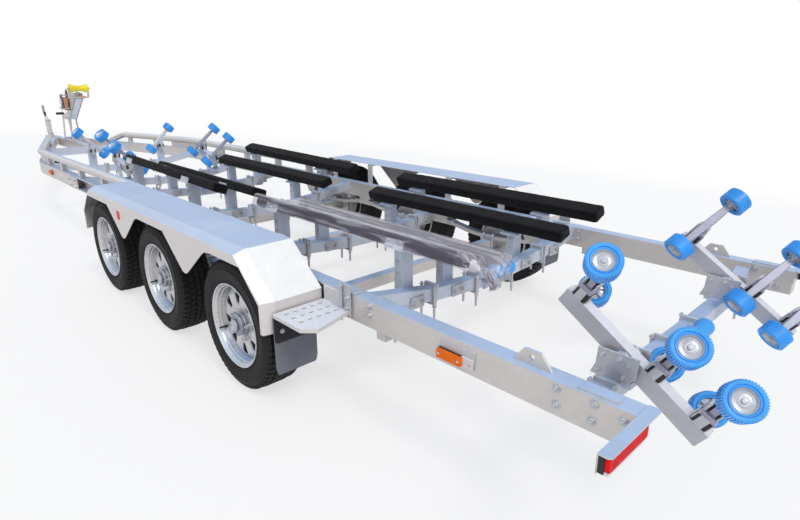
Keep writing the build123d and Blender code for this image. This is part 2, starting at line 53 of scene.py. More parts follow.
def placeAt(origin, zAxis=(0, 0, 1), xHint=(1, 0, 0)):
    z = Vector(zAxis).normalized()
    x = Vector(xHint) - z * Vector(xHint).dot(z)
    if x.length < 1e-4:
        x = Vector((0, 0, 1)) - z * z.z
    x.normalize()
    turn = Matrix((x, z.cross(x), z)).transposed().to_4x4()
    return Matrix.Translation(origin) @ turn


def spun(angle):
    return Matrix.Rotation(angle, 4, "Z")


def newShape():
    return {"verts": [], "faces": [], "mats": []}


def put(shape, verts, faces, place=None, mat=0):
    start = len(shape["verts"])
    for v in verts:
        point = Vector(v)
        shape["verts"].append(place @ point if place else point)
    for face in faces:
        shape["faces"].append([start + i for i in face])
        shape["mats"].append(mat)


def bandFaces(count, rows):
    # quads from each ring of points to the next
    faces = []
    for row in range(rows - 1):
        low, high = row * count, (row + 1) * count
        for i in range(count):
            j = (i + 1) % count
            faces.append([low + i, low + j, high + j, high + i])
    return faces


def lathe(shape, profile, place, steps=32, mat=0, ring=False):
    # profile is (radius, along) pairs, going up on the outer side
    verts, rows, faces = [], [], []
    for radius, along in profile:
        if radius < 1e-6:
            rows.append([len(verts)] * steps)
            verts.append((0, 0, along))
        else:
            rows.append(list(range(len(verts), len(verts) + steps)))
            for k in range(steps):
                angle = 2 * math.pi * k / steps
                verts.append((radius * math.cos(angle), radius * math.sin(angle), along))
    pairs = list(zip(rows, rows[1:])) + ([(rows[-1], rows[0])] if ring else [])
    for low, high in pairs:
        for k in range(steps):
            m = (k + 1) % steps
            quad = [low[k], low[m], high[m], high[k]]
            face = [v for n, v in enumerate(quad) if v not in quad[:n]]
            if len(face) > 2:
                faces.append(face)
    put(shape, verts, faces, place, mat)


def bothWays(half, middle=()):
    # a profile's upper half, mirrored down past what lies between
    return [(radius, -along) for radius, along in half] + list(middle) + half[::-1]


def rod(shape, radius, low, high, place, steps, mat=0):
    lathe(shape, [(0.0, low), (radius, low), (radius, high), (0.0, high)], place, steps, mat)


def insetOutline(outline, by):
    moved = []
    for i, point in enumerate(outline):
        a, b = Vector(outline[i - 1]), Vector(outline[(i + 1) % len(outline)])
        p = Vector(point)
        one, two = (p - a).normalized(), (b - p).normalized()
        side = Vector((-(one.y + two.y), one.x + two.x))
        side = side.normalized() * by / max(0.35, side.length / 2)
        moved.append((p.x + side.x, p.y + side.y))
    return moved


def prism(shape, outline, low, high, place=None, chamfer=0.0012, mat=0):
    # outline runs anticlockwise seen from above
    small = insetOutline(outline, chamfer)
    rings = [(small, low), (outline, low + chamfer), (outline, high - chamfer), (small, high)]
    count = len(outline)
    verts = [(x, y, z) for ring, z in rings for x, y in ring]
    caps = [list(range(count))[::-1], [3 * count + i for i in range(count)]]
    put(shape, verts, caps + bandFaces(count, 4), place, mat)


def roundedRect(wide, tall, radius, corners=3):
    points = []
    for cx, cy, start in ((1, 1, 0), (-1, 1, 90), (-1, -1, 180), (1, -1, 270)):
        for k in range(corners + 1):
            angle = math.radians(start + 90 * k / corners)
            points.append((cx * (wide / 2 - radius) + radius * math.cos(angle),
                           cy * (tall / 2 - radius) + radius * math.sin(angle)))
    return points


def bar(shape, size, place, chamfer=0.0015, mat=0, corner=None):
    outline = roundedRect(size[0], size[1], corner or chamfer * 1.5, 2)
    prism(shape, outline, -size[2] / 2, size[2] / 2, place, chamfer, mat)


def addObject(name, data):
    made = bpy.data.objects.new(name, data)
    bpy.context.scene.collection.objects.link(made)
    return made


def softened(mesh, sharp):
    for face in mesh.polygons:
        face.use_smooth = True
    mesh.set_sharp_from_angle(angle=math.radians(sharp))
    return mesh


def buildMesh(name, shape, materials, sharp=32, weld=True):
    mesh = bpy.data.meshes.new(name)
    mesh.from_pydata([tuple(v) for v in shape["verts"]], [], shape["faces"])
    for material in materials:
        mesh.materials.append(material)
    for face, index in zip(mesh.polygons, shape["mats"]):
        face.material_index = index
    if weld:
        work = bmesh.new()
        work.from_mesh(mesh)
        bmesh.ops.remove_doubles(work, verts=work.verts, dist=1e-6)
        bmesh.ops.recalc_face_normals(work, faces=work.faces)
        work.to_mesh(mesh)
        work.free()
    return softened(mesh, sharp)


def buildPiece(name, shape, materials, sharp=32, weld=True):
    return addObject(name, buildMesh(name, shape, materials, sharp, weld))


def gather(name, parts, sharp=32):
    # parts are (mesh, matrix); their materials come along
    work, materials = bmesh.new(), []
    for mesh, matrix in parts:
        index = []
        for material in mesh.materials:
            if material not in materials:
                materials.append(material)
            index.append(materials.index(material))
        copy = mesh.copy()
        copy.transform(matrix)
        for face in copy.polygons:
            face.material_index = index[face.material_index] if index else 0
        work.from_mesh(copy)
        bpy.data.meshes.remove(copy)
    mesh = bpy.data.meshes.new(name)
    work.to_mesh(mesh)
    work.free()
    for material in materials:
        mesh.materials.append(material)
    return addObject(name, softened(mesh, sharp))


def ready(piece, body, slotName, *stoodFor):
    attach(piece, body)
    if stoodFor:
        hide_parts(*stoodFor)
    return piece


# node helpers, for shaders and for geometry
def addNode(tree, kind, inputs=None, **settings):
    made = tree.nodes.new(kind)
    for key, value in settings.items():
        setattr(made, key, value)
    for key, value in (inputs or {}).items():
        if isinstance(value, bpy.types.NodeSocket):
            tree.links.new(value, made.inputs[key])
        else:
            made.inputs[key].default_value = value
    return made


def calc(tree, operation, a, b=0.0):
    return addNode(tree, "ShaderNodeMath", {0: a, 1: b}, operation=operation).outputs[0]


def combine(tree, x=0.0, y=0.0, z=0.0):
    return addNode(tree, "ShaderNodeCombineXYZ", {0: x, 1: y, 2: z}).outputs[0]


def colour(code):
    parts = [int(code[i:i + 2], 16) / 255 for i in (1, 3, 5)]
    return tuple(c / 12.92 if c <= 0.04045 else ((c + 0.055) / 1.055) ** 2.4 for c in parts) + (1.0,)


def mixColour(tree, factor, a, b):
    made = addNode(tree, "ShaderNodeMix", {0: factor, 6: a, 7: b}, data_type="RGBA", blend_type="MIX")
    return made.outputs[2]


def toneColour(tree, base, tone):
    tones = combine(tree, tone, tone, tone)
    return addNode(tree, "ShaderNodeVectorMath", {0: base, 1: tones}, operation="MULTIPLY").outputs["Vector"]


def remap(tree, value, fromLow, fromHigh, toLow, toHigh, soft=False):
    made = addNode(tree, "ShaderNodeMapRange", {"Value": value, "From Min": fromLow, "From Max": fromHigh,
                                                "To Min": toLow, "To Max": toHigh})
    if soft:
        made.interpolation_type = "SMOOTHSTEP"
    return made.outputs["Result"]


def cloudy(tree, place, scale, detail, **more):
    inputs = {"Vector": place, "Scale": scale, "Detail": detail}
    return addNode(tree, "ShaderNodeTexNoise", inputs | more).outputs["Fac"]


def cells(tree, place, scale, randomness=1.0, **settings):
    inputs = {"Vector": place, "Scale": scale, "Randomness": randomness}
    return addNode(tree, "ShaderNodeTexVoronoi", inputs, **settings)


def stretched(tree, place, scale):
    return addNode(tree, "ShaderNodeMapping", {"Vector": place, "Scale": scale}).outputs["Vector"]


def facingUp(tree):
    normal = tree.nodes.new("ShaderNodeNewGeometry").outputs["Normal"]
    return addNode(tree, "ShaderNodeSeparateXYZ", {0: normal}).outputs["Z"]


def startMaterial(name, metal=0.0, rough=0.5, **extra):
    material = bpy.data.materials.new(name)
    material.use_nodes = True
    tree = material.node_tree
    tree.nodes.clear()
    end = tree.nodes.new("ShaderNodeOutputMaterial")
    shader = tree.nodes.new("ShaderNodeBsdfPrincipled")
    tree.links.new(shader.outputs["BSDF"], end.inputs["Surface"])
    shader.inputs["Metallic"].default_value = metal
    shader.inputs["Roughness"].default_value = rough
    for key, value in extra.items():
        shader.inputs[key.replace("_", " ")].default_value = value
    place = tree.nodes.new("ShaderNodeTexCoord").outputs["Object"]
    return material, tree, shader, place


def dress(tree, shader, tint, rough, height, strength, distance):
    # colour, roughness and bump of a finish; rough may be None
    tree.links.new(tint, shader.inputs["Base Color"])
    if rough:
        tree.links.new(rough, shader.inputs["Roughness"])
    bump = addNode(tree, "ShaderNodeBump", {"Height": height, "Strength": strength, "Distance": distance})
    tree.links.new(bump.outputs["Normal"], shader.inputs["Normal"])


# finishes
def zincFinish(name, side, top, slope="#ECEAEA", flake=70.0, metal=0.3, rough=0.4, stain=0.14,
               flakeShare=0.035, relief=0.10, shade="#8E8D92"):
    # hot-dip zinc: crystal flakes, drawn streaks and water stains, with painted light by facing: a painted
    # sky reflection (pale blue) where it faces up, a painted sunlit highlight on slopes and painted shade
    # where it faces down
    material, tree, shader, place = startMaterial(name, metal, rough)
    flakes = cells(tree, place, flake)
    fine = cloudy(tree, place, flake * 5, 4.0)
    clouds = cloudy(tree, place, 5.0, 6.0, Roughness=0.62)
    streaks = cloudy(tree, stretched(tree, place, (0.8, 26.0, 26.0)), 2.0, 5.0)
    lean = facingUp(tree)
    # masks of the painted light: slopes and tops get painted sun and sky, faces turned down (level near 0)
    # get painted shade
    paintedSlopeLight = remap(tree, lean, 0.15, 0.6, 0.0, 1.0, True)
    paintedSkyMask = remap(tree, lean, 0.84, 0.97, 0.0, 1.0, True)
    level = remap(tree, lean, -0.9, -0.3, 0.0, 1.0, True)
    grey = addNode(tree, "ShaderNodeSeparateColor", {0: flakes.outputs["Color"]}).outputs["Red"]
    spangle = remap(tree, grey, 0.0, 1.0, 1.0 - flakeShare, 1.0 + flakeShare * 0.6)
    cloud = remap(tree, clouds, 0.3, 0.75, 0.94, 1.03)
    streak = remap(tree, streaks, 0.3, 0.7, 0.965, 1.02)
    tone = calc(tree, "MULTIPLY", calc(tree, "MULTIPLY", spangle, cloud), streak)
    # walls take the side colour; faces turned down take the shade colour (painted shade), slopes the slope
    # colour (painted highlight), tops the top colour (painted sky reflection)
    body = mixColour(tree, level, colour(shade), colour(side))
    body = mixColour(tree, paintedSlopeLight, body, colour(slope))
    body = mixColour(tree, paintedSkyMask, body, colour(top))
    # water stains, brown on the walls; on slopes and tops they turn pale blue, taking the painted sky
    # reflection
    patch = remap(tree, clouds, 0.56, 0.74, 0.0, stain, True)
    body = mixColour(tree, patch, body, mixColour(tree, paintedSlopeLight, colour("#B09C86"), colour("#E3EDFC")))
    gloss = calc(tree, "ADD", remap(tree, grey, 0.0, 1.0, rough - 0.05, rough + 0.06),
                 remap(tree, fine, 0.3, 0.7, -0.03, 0.03))
    height = calc(tree, "ADD", calc(tree, "MULTIPLY", fine, 0.5),
                  calc(tree, "MULTIPLY", flakes.outputs["Distance"], 0.6))
    dress(tree, shader, toneColour(tree, body, tone), gloss, height, relief, 0.0010)
    return material


def plasticFinish(name, base, worn, rough=0.34, scuff=0.5):
    # moulded plastic: fine grain, faint mould clouding, scuffs that go paler
    material, tree, shader, place = startMaterial(name, 0.0, rough)
    clouds = cloudy(tree, place, 14.0, 5.0)
    grain = cloudy(tree, place, 420.0, 3.0)
    marks = cloudy(tree, place, 55.0, 8.0, Distortion=1.6)
    worked = remap(tree, marks, 0.6, 0.78, 0.0, scuff, True)
    shade = remap(tree, clouds, 0.3, 0.7, 0.86, 1.08)
    tint = mixColour(tree, worked, toneColour(tree, colour(base)[:3], shade), colour(worn))
    gloss = remap(tree, marks, 0.3, 0.75, rough - 0.08, rough + 0.2)
    dress(tree, shader, tint, gloss, grain, 0.12, 0.0008)
    return material


def rubberFinish(name, base, dust, rough=0.72, dusty=0.35, grain=300.0):
    material, tree, shader, place = startMaterial(name, 0.0, rough, Specular_IOR_Level=0.35)
    clouds = cloudy(tree, place, 9.0, 7.0, Roughness=0.65)
    worked = remap(tree, clouds, 0.42, 0.75, 0.0, dusty, True)
    tint = mixColour(tree, worked, colour(base), colour(dust))
    gloss = remap(tree, clouds, 0.3, 0.7, rough - 0.12, rough + 0.12)
    dress(tree, shader, tint, gloss, cloudy(tree, place, grain, 4.0), 0.25, 0.0010)
    return material


def carpetFinish(name, base, tip):
    # needled carpet: short fibres in tufts, with a dull sheen
    material, tree, shader, place = startMaterial(name, 0.0, 0.95, Sheen_Weight=0.08, Sheen_Roughness=0.5,
                                                  Specular_IOR_Level=0.15)
    fibre = cloudy(tree, place, 650.0, 5.0, Distortion=0.8)
    pressed = cloudy(tree, place, 12.0, 5.0)
    light = calc(tree, "MULTIPLY", fibre, remap(tree, pressed, 0.3, 0.7, 0.5, 1.3))
    tint = mixColour(tree, remap(tree, light, 0.35, 0.85, 0.0, 1.0), colour(base), colour(tip))
    tufts = cells(tree, place, 260.0).outputs["Distance"]
    height = calc(tree, "ADD", fibre, calc(tree, "MULTIPLY", tufts, 0.8))
    dress(tree, shader, tint, None, height, 0.7, 0.0025)
    return material


def lensFinish(name, base, deep, pitch):
    # moulded lamp lens, with its prisms showing through
    material, tree, shader, place = startMaterial(name, 0.0, 0.28, Coat_Weight=0.06, Coat_Roughness=0.08,
                                                  Specular_IOR_Level=0.1)
    grid = cells(tree, place, 1.0 / pitch, 0.0, distance="CHEBYCHEV").outputs["Distance"]
    depth = calc(tree, "ADD", remap(tree, grid, 0.1, 0.5, 0.0, 0.55),
                 remap(tree, cloudy(tree, place, 30.0, 4.0), 0.35, 0.7, 0.0, 0.45))
    dress(tree, shader, mixColour(tree, depth, colour(base), colour(deep)), None, grid, 0.35, 0.0012)
    return material


def filmFinish(name):
    # clear packing film, paler in streaks along its length, and lighter where it lies face up: a painted sky
    # reflection
    material, tree, shader, place = startMaterial(name, 0.0, 0.14, Alpha=0.48, Specular_IOR_Level=0.7,
                                                  Coat_Weight=0.4, Coat_Roughness=0.05)
    paintedSkyMask = remap(tree, facingUp(tree), 0.35, 0.85, 0.0, 1.0, True)
    pulled = cloudy(tree, stretched(tree, place, (2.0, 26.0, 26.0)), 1.6, 6.0, Distortion=0.6)
    crease = cloudy(tree, place, 17.0, 4.0, Distortion=1.2)
    paleStreaks = remap(tree, pulled, 0.46, 0.62, 0.0, 1.0, True)
    # the face-up colours are lighter than the side colours: painted sky reflection
    side = mixColour(tree, paleStreaks, colour("#6A6777"), colour("#C6C3D2"))
    top = mixColour(tree, paleStreaks, colour("#C4C1D0"), colour("#FBFAFE"))
    gloss = remap(tree, crease, 0.3, 0.7, 0.08, 0.26)
    height = calc(tree, "ADD", calc(tree, "MULTIPLY", crease, 0.4), pulled)
    dress(tree, shader, mixColour(tree, paintedSkyMask, side, top), gloss, height, 0.45, 0.006)
    return material


zinc = zincFinish("galvanised", "#D2CCC8", "#C2D8F8")
# a darker copy of the zinc for the roller arms and saddles: painted shade
armZincShaded = zincFinish("armZincShaded", "#A6A6B6", "#BBC6DC", "#A3A3B3", flake=120.0, metal=0.4, stain=0.12)
rockerZinc = zincFinish("rockerZinc", "#BDBCC2", "#D8E2F6", "#F2F3FB", metal=0.38)
# winch-post zinc: its faces turned down are painted pale, a painted highlight
postZinc = zincFinish("postZinc", "#C6C3C8", "#C3D0E6", "#B8C7DA", flake=110.0, metal=0.2, stain=0.12,
                      shade="#E4ECF6")
# a bluer copy of the zinc for the frame's inner parts: painted shade with sky light in it
zincInnerShaded = zincFinish("shadedZinc", "#CAD1DE", "#BCD2F4", "#E9ECF4", metal=0.34)
# fender sheet: its slopes are painted pure white, a painted sunlit highlight
zincSheet = zincFinish("fenderSheet", "#DBD4D2", "#BDD3F4", "#FFFFFF", flake=110.0, metal=0.2, stain=0.3,
                       flakeShare=0.02)
zincBright = zincFinish("stepSheet", "#D6D3D2", "#EDF1FA", flake=120.0, metal=0.2, rough=0.45, stain=0.1)
zincPlate = zincFinish("clampZinc", "#C3C3C7", "#CFDDF2", flake=130.0, metal=0.4, rough=0.36, stain=0.1)
boltZinc = zincFinish("boltZinc", "#BFC0C6", "#E4EAF4", flake=90.0, metal=0.5, rough=0.34, stain=0.05,
                      flakeShare=0.02, relief=0.02)
discZinc = zincFinish("rollerDisc", "#C2C4CC", "#E2E8F4", "#D0D3DC", flake=60.0, metal=0.5, rough=0.36,
                      stain=0.04, flakeShare=0.03, relief=0.015)
wheelZinc = zincFinish("wheelZinc", "#D3D1D0", "#BDD2F2", "#DAE2EE", flake=60.0, metal=0.45, rough=0.32,
                       stain=0.1, flakeShare=0.03, relief=0.03)
hubSteel = zincFinish("hubSteel", "#8C909C", "#93A6C4", "#A4AAB6", flake=60.0, metal=0.5, rough=0.34,
                      stain=0.1, flakeShare=0.03, relief=0.03)
drumIron = zincFinish("drumIron", "#3B3431", "#3E3A3A", "#3C3735", flake=200.0, metal=0.2, rough=0.7,
                      stain=0.25)
blueRoller = plasticFinish("blueRoller", "#3FA4F4", "#8CC9FA", scuff=0.12)
yellowRoller = plasticFinish("yellowRoller", "#F0DC22", "#FAF0A0", scuff=0.3)
blackNylon = plasticFinish("blackNylon", "#1B1B1E", "#5A5A60", rough=0.42, scuff=0.3)
winchPaint = plasticFinish("winchPaint", "#232327", "#77777C", rough=0.38, scuff=0.4)
gripRubber = rubberFinish("gripRubber", "#1D1D20", "#4C4A4C", 0.6, 0.3)
gripGrey = rubberFinish("gripGrey", "#8E8B98", "#B4B1BC", 0.6, 0.3, 500.0)
tyreRubber = rubberFinish("tyreRubber", "#151417", "#332E30", 0.7, 0.45)
flapRubber = rubberFinish("flapRubber", "#6C6E78", "#82848C", 0.62, 0.4)
flapBacking = rubberFinish("flapBacking", "#1E1D21", "#3A393D", 0.6, 0.25)
strapWeb = rubberFinish("strapWeb", "#D39C7C", "#BC8060", 0.8, 0.5, 900.0)
carpet = carpetFinish("bunkCarpet", "#050507", "#1A1A1F")
redLens = lensFinish("redLens", "#F2141C", "#C00A12", 0.012)
orangeLens = lensFinish("orangeLens", "#F57A12", "#D65A08", 0.009)
clearLens = lensFinish("clearLens", "#EEEBEA", "#C9C4C6", 0.008)
packingFilm = filmFinish("packingFilm")
print("finishes made")

finishOf = {  # by the start of a node's name; the first that fits is taken
    "cross_members": zincInnerShaded, "bunk_brackets": zincInnerShaded, "roller_mounts": zincInnerShaded,
    "rear_rocker": zincInnerShaded, "front_rocker": zincInnerShaded, "rim_": wheelZinc, "tyre_": tyreRubber,
    "fender_": zincSheet, "steps": zincBright, "mud_flaps": flapRubber, "winch_post": zinc,
    "winch": winchPaint, "handbrake": zincPlate, "tail_lamps": redLens, "side_lamps": orangeLens,
    "bow_roller": yellowRoller, "keel_roller": blueRoller, "rear_rollers": blueRoller,
    "front_rollers": blueRoller, "nose_rollers": blueRoller, "jockey_wheel": tyreRubber, "bunks_": carpet,
}
for name, node in nodes.items():
    finish = next((made for start, made in finishOf.items() if name.startswith(start)), zinc)
    node.data.materials.clear()
    node.data.materials.append(finish)


# geometry trees
def newTree(name, sockets):
    tree = bpy.data.node_groups.new(name, "GeometryNodeTree")
    tree.interface.new_socket(name="Geometry", in_out="INPUT", socket_type="NodeSocketGeometry")
    for label, kind in sockets.items():
        tree.interface.new_socket(name=label, in_out="INPUT", socket_type="NodeSocket" + kind)
    tree.interface.new_socket(name="Geometry", in_out="OUTPUT", socket_type="NodeSocketGeometry")
    return tree, tree.nodes.new("NodeGroupInput").outputs


def joinAll(tree, parts):
    joined = tree.nodes.new("GeometryNodeJoinGeometry")
    for part in parts:
        tree.links.new(part, joined.inputs[0])
    return joined.outputs[0]


def closeTree(tree, parts, material, smooth=False):
    real = addNode(tree, "GeometryNodeRealizeInstances", {"Geometry": joinAll(tree, parts[::-1])})
    shaded = addNode(tree, "GeometryNodeSetShadeSmooth", {"Geometry": real.outputs[0],
                                                          "Shade Smooth": smooth})
    painted = addNode(tree, "GeometryNodeSetMaterial", {"Geometry": shaded.outputs[0], "Material": material})
    addNode(tree, "NodeGroupOutput", {"Geometry": painted.outputs[0]})
    return tree


def copiesAt(tree, points, thing, rotation, scale=(1, 1, 1)):
    return addNode(tree, "GeometryNodeInstanceOnPoints", {
        "Points": points, "Instance": thing, "Rotation": rotation, "Scale": scale}).outputs[0]


def standRound(tree, thing, count, radius, pitch):
    # copies of a thing round the axis (Z), each turned outwards
    circle = addNode(tree, "GeometryNodeMeshCircle", {"Vertices": count, "Radius": radius})
    angle = calc(tree, "MULTIPLY", tree.nodes.new("GeometryNodeInputIndex").outputs[0], pitch)
    turned = addNode(tree, "FunctionNodeEulerToRotation", {0: combine(tree, z=angle)})
    return copiesAt(tree, circle.outputs[0], thing, turned.outputs[0])


def grow(name, mesh, tree, values):
    # runs a tree on a mesh and hands back the plain result
    holder = addObject(name, mesh)
    modifier = holder.modifiers.new(tree.name, "NODES")
    modifier.node_group = tree
    for item in tree.interface.items_tree:
        if item.in_out == "INPUT" and item.name in values:
            modifier[item.identifier] = values[item.name]
    graph = bpy.context.evaluated_depsgraph_get()
    plain = bpy.data.meshes.new_from_object(holder.evaluated_get(graph), depsgraph=graph)
    plain.name = name
    holder.modifiers.remove(modifier)
    bpy.data.objects.remove(holder)
    return plain


def makeBoltTree():
    # washer, head and thread end, stood on points that carry "facing" and "size"
    tree, given = newTree("hexBolts", {
        "Head Radius": "Float", "Head Height": "Float", "Washer Radius": "Float", "Washer Height": "Float",
        "Thread Length": "Float", "Seed": "Int", "Material": "Material"})

    def disc(count, radius, depth, lift):
        made = addNode(tree, "GeometryNodeMeshCylinder", {"Vertices": count, "Radius": radius,
                                                          "Depth": depth})
        return addNode(tree, "GeometryNodeTransform", {"Geometry": made.outputs["Mesh"],
                                                       "Translation": combine(tree, z=lift)}).outputs[0]

    def half(value):
        return calc(tree, "MULTIPLY", value, 0.5)

    def named(label, kind):
        return addNode(tree, "GeometryNodeInputNamedAttribute", {"Name": label}, data_type=kind).outputs[0]

    washerTop, headHeight, length = given["Washer Height"], given["Head Height"], given["Thread Length"]
    headMid = calc(tree, "ADD", washerTop, half(headHeight))
    threadMid = calc(tree, "ADD", calc(tree, "ADD", washerTop, headHeight), half(length))
    washer = disc(14, given["Washer Radius"], washerTop, half(washerTop))
    head = disc(6, given["Head Radius"], headHeight, headMid)
    thread = disc(10, calc(tree, "MULTIPLY", given["Head Radius"], 0.52), length, threadMid)
    facing = named("facing", "FLOAT_VECTOR")
    aim = addNode(tree, "FunctionNodeAlignRotationToVector", {"Vector": facing}, axis="Z")
    spin = addNode(tree, "FunctionNodeRandomValue", {2: 0.0, 3: 1.05, 8: given["Seed"]}, data_type="FLOAT")
    turned = addNode(tree, "FunctionNodeEulerToRotation", {0: combine(tree, z=spin.outputs[1])})
    whole = addNode(tree, "FunctionNodeRotateRotation", {0: aim.outputs[0], 1: turned.outputs[0]},
                    rotation_space="LOCAL")
    size = named("size", "FLOAT")
    bolt = joinAll(tree, (washer, head, thread))
    placed = copiesAt(tree, given["Geometry"], bolt, whole.outputs[0], combine(tree, size, size, size))
    return closeTree(tree, [placed], given["Material"])


def makeRodTree():
    tree, given = newTree("bentRods", {"Rod Radius": "Float", "Bend Radius": "Float", "Sides": "Int",
                                       "Material": "Material"})
    path = addNode(tree, "GeometryNodeMeshToCurve", {"Mesh": given["Geometry"]})
    bent = addNode(tree, "GeometryNodeFilletCurve", {
        "Curve": path.outputs[0], "Radius": given["Bend Radius"], "Count": 6, "Limit Radius": True
    }, mode="POLY")
    ring = addNode(tree, "GeometryNodeCurvePrimitiveCircle", {"Resolution": given["Sides"],
                                                              "Radius": given["Rod Radius"]})
    solid = addNode(tree, "GeometryNodeCurveToMesh", {
        "Curve": bent.outputs[0], "Profile Curve": ring.outputs[0], "Fill Caps": True})
    return closeTree(tree, [solid.outputs[0]], given["Material"], True)


def makeRibTree():
    # bars stood round a drum, along its axis
    tree, given = newTree("drumRibs", {"Ribs": "Int", "Drum Radius": "Float", "Rib Depth": "Float",
                                       "Rib Width": "Float", "Rib Length": "Float", "Material": "Material"})
    size = combine(tree, given["Rib Depth"], given["Rib Width"], given["Rib Length"])
    rib = addNode(tree, "GeometryNodeMeshCube", {"Size": size}).outputs["Mesh"]
    pitch = calc(tree, "DIVIDE", 2 * math.pi, given["Ribs"])
    ribs = standRound(tree, rib, given["Ribs"], given["Drum Radius"], pitch)
    return closeTree(tree, [given["Geometry"], ribs], given["Material"])


def makeTreadTree(rows):
    # rows of tread blocks round the carcass
    tree, given = newTree("treadBlocks", {"Blocks": "Int", "Tread Radius": "Float", "Block Depth": "Float",
                                          "Material": "Material"})
    pitch = calc(tree, "DIVIDE", 2 * math.pi, given["Blocks"])
    middle = calc(tree, "SUBTRACT", given["Tread Radius"], calc(tree, "MULTIPLY", given["Block Depth"], 0.5))
    parts = [given["Geometry"]]
    for along, width, share, phase, slant, drop in rows:
        seat = calc(tree, "SUBTRACT", middle, drop)
        length = calc(tree, "MULTIPLY", calc(tree, "MULTIPLY", pitch, seat), share)
        size = combine(tree, given["Block Depth"], length, width)
        block = addNode(tree, "GeometryNodeMeshCube", {"Size": size})
        place = tree.nodes.new("GeometryNodeInputPosition")
        split = addNode(tree, "ShaderNodeSeparateXYZ", {0: place.outputs[0]})
        shear = combine(tree, y=calc(tree, "MULTIPLY", split.outputs[2], slant))
        slanted = addNode(tree, "GeometryNodeSetPosition", {"Geometry": block.outputs[0], "Offset": shear})
        ring = standRound(tree, slanted.outputs[0], given["Blocks"], seat, pitch)
        wind = combine(tree, z=calc(tree, "MULTIPLY", pitch, phase))
        moved = addNode(tree, "GeometryNodeTransform", {
            "Geometry": ring, "Translation": combine(tree, z=along), "Rotation": wind})
        parts.append(moved.outputs[0])
    return closeTree(tree, parts, given["Material"])


boltTree = makeBoltTree()
rodTree = makeRodTree()
ribTree = makeRibTree()
print("geometry trees made")

boltSettings = {
    "Head Radius": 0.0105,
    "Head Height": 0.0080,
    "Washer Radius": 0.0150,
    "Washer Height": 0.0025,
    "Thread Length": 0.0070,
    "Seed": 4,
}


def addBolts(name, body, rows):
    # rows are (x, y, z, facing, size)
    mesh = bpy.data.meshes.new(name + "Points")
    mesh.from_pydata([row[:3] for row in rows], [], [])
    facing = mesh.attributes.new("facing", "FLOAT_VECTOR", "POINT")
    facing.data.foreach_set("vector", [value for row in rows for value in row[3]])
    size = mesh.attributes.new("size", "FLOAT", "POINT")
    size.data.foreach_set("value", [row[4] for row in rows])
    plain = grow(name, mesh, boltTree, boltSettings | {"Material": boltZinc})
    return ready(addObject(name, softened(plain, 25)), body, "galvanised_steel")


def rodMesh(name, paths, radius, bend, count=10):
    verts, edges = [], []
    for path in paths:
        start = len(verts)
        verts += [tuple(point) for point in path]
        edges += [(start + i, start + i + 1) for i in range(len(path) - 1)]
    mesh = bpy.data.meshes.new(name + "Paths")
    mesh.from_pydata(verts, edges, [])
    return grow(name, mesh, rodTree, {"Rod Radius": radius, "Bend Radius": bend, "Sides": count,
                                      "Material": boltZinc})


# tyres and wheels
tyreSettings = {
    "radius": 0.310,
    "width": 0.195,
    "treadDepth": 0.008,
    "blocks": 58,
    "steps": 116,
    "grooves": 0.0004,  # how far the carcass stands up between the blocks
    "bead": [  # radius, and how far in from the tyre's edge
        (0.188, 0.026), (0.197, 0.014), (0.206, 0.0095), (0.2085, 0.0055), (0.214, 0.0052), (0.2165, 0.0075),
        (0.226, 0.0035), (0.246, 0.0004), (0.262, 0.0008), (0.264, 0.0), (0.2665, 0.0002), (0.268, 0.0022),
        (0.280, 0.0060), (0.289, 0.0105)],
    "lug": (0.021, 0.020, 0.007),
    "lugDrop": 0.0125,
    "lugIn": 0.0175,
    "blockDrop": 0.0004,
}
treadRows = [
    # along, width, share of the pitch, phase, slant, drop
    (0.000, 0.0250, 0.86, 0.0, 0.35, 0.0),
    (0.0315, 0.0260, 0.82, 0.5, -0.35, 0.0002),
    (-0.0315, 0.0260, 0.82, 0.5, -0.35, 0.0002),
    (0.0625, 0.0250, 0.74, 0.1, 0.22, 0.0026),
    (-0.0625, 0.0250, 0.74, 0.1, 0.22, 0.0026),
]


def makeTyre(s):
    half, r, base = s["width"] / 2, s["radius"], s["radius"] - s["treadDepth"]
    wall = [(radius, half - inset) for radius, inset in s["bead"]]
    wall += [(r - 0.0135, half - 0.0165), (base - 0.002, half - 0.0225), (base, half - 0.030)]
    middle = [(base + s["grooves"], along) for along in (-0.047, -0.016, 0.016, 0.047)]
    shape = newShape()
    lathe(shape, bothWays(wall, middle), still, s["steps"], 0, True)
    for edge in (-1, 1):  # shoulder lugs run down the wall
        seat = placeAt((r - s["lugDrop"], 0, edge * (half - s["lugIn"])), (0.62, 0, edge * 0.79), (0, 1, 0))
        for k in range(s["blocks"]):
            bar(shape, s["lug"], spun(2 * math.pi * (k + 0.1) / s["blocks"]) @ seat, 0.0012)
    carcass = buildMesh("carcass", shape, [tyreRubber], 40)
    return grow("tyre", carcass, makeTreadTree(treadRows), {
        "Blocks": s["blocks"], "Tread Radius": r - s["blockDrop"], "Block Depth": s["treadDepth"],
        "Material": tyreRubber})


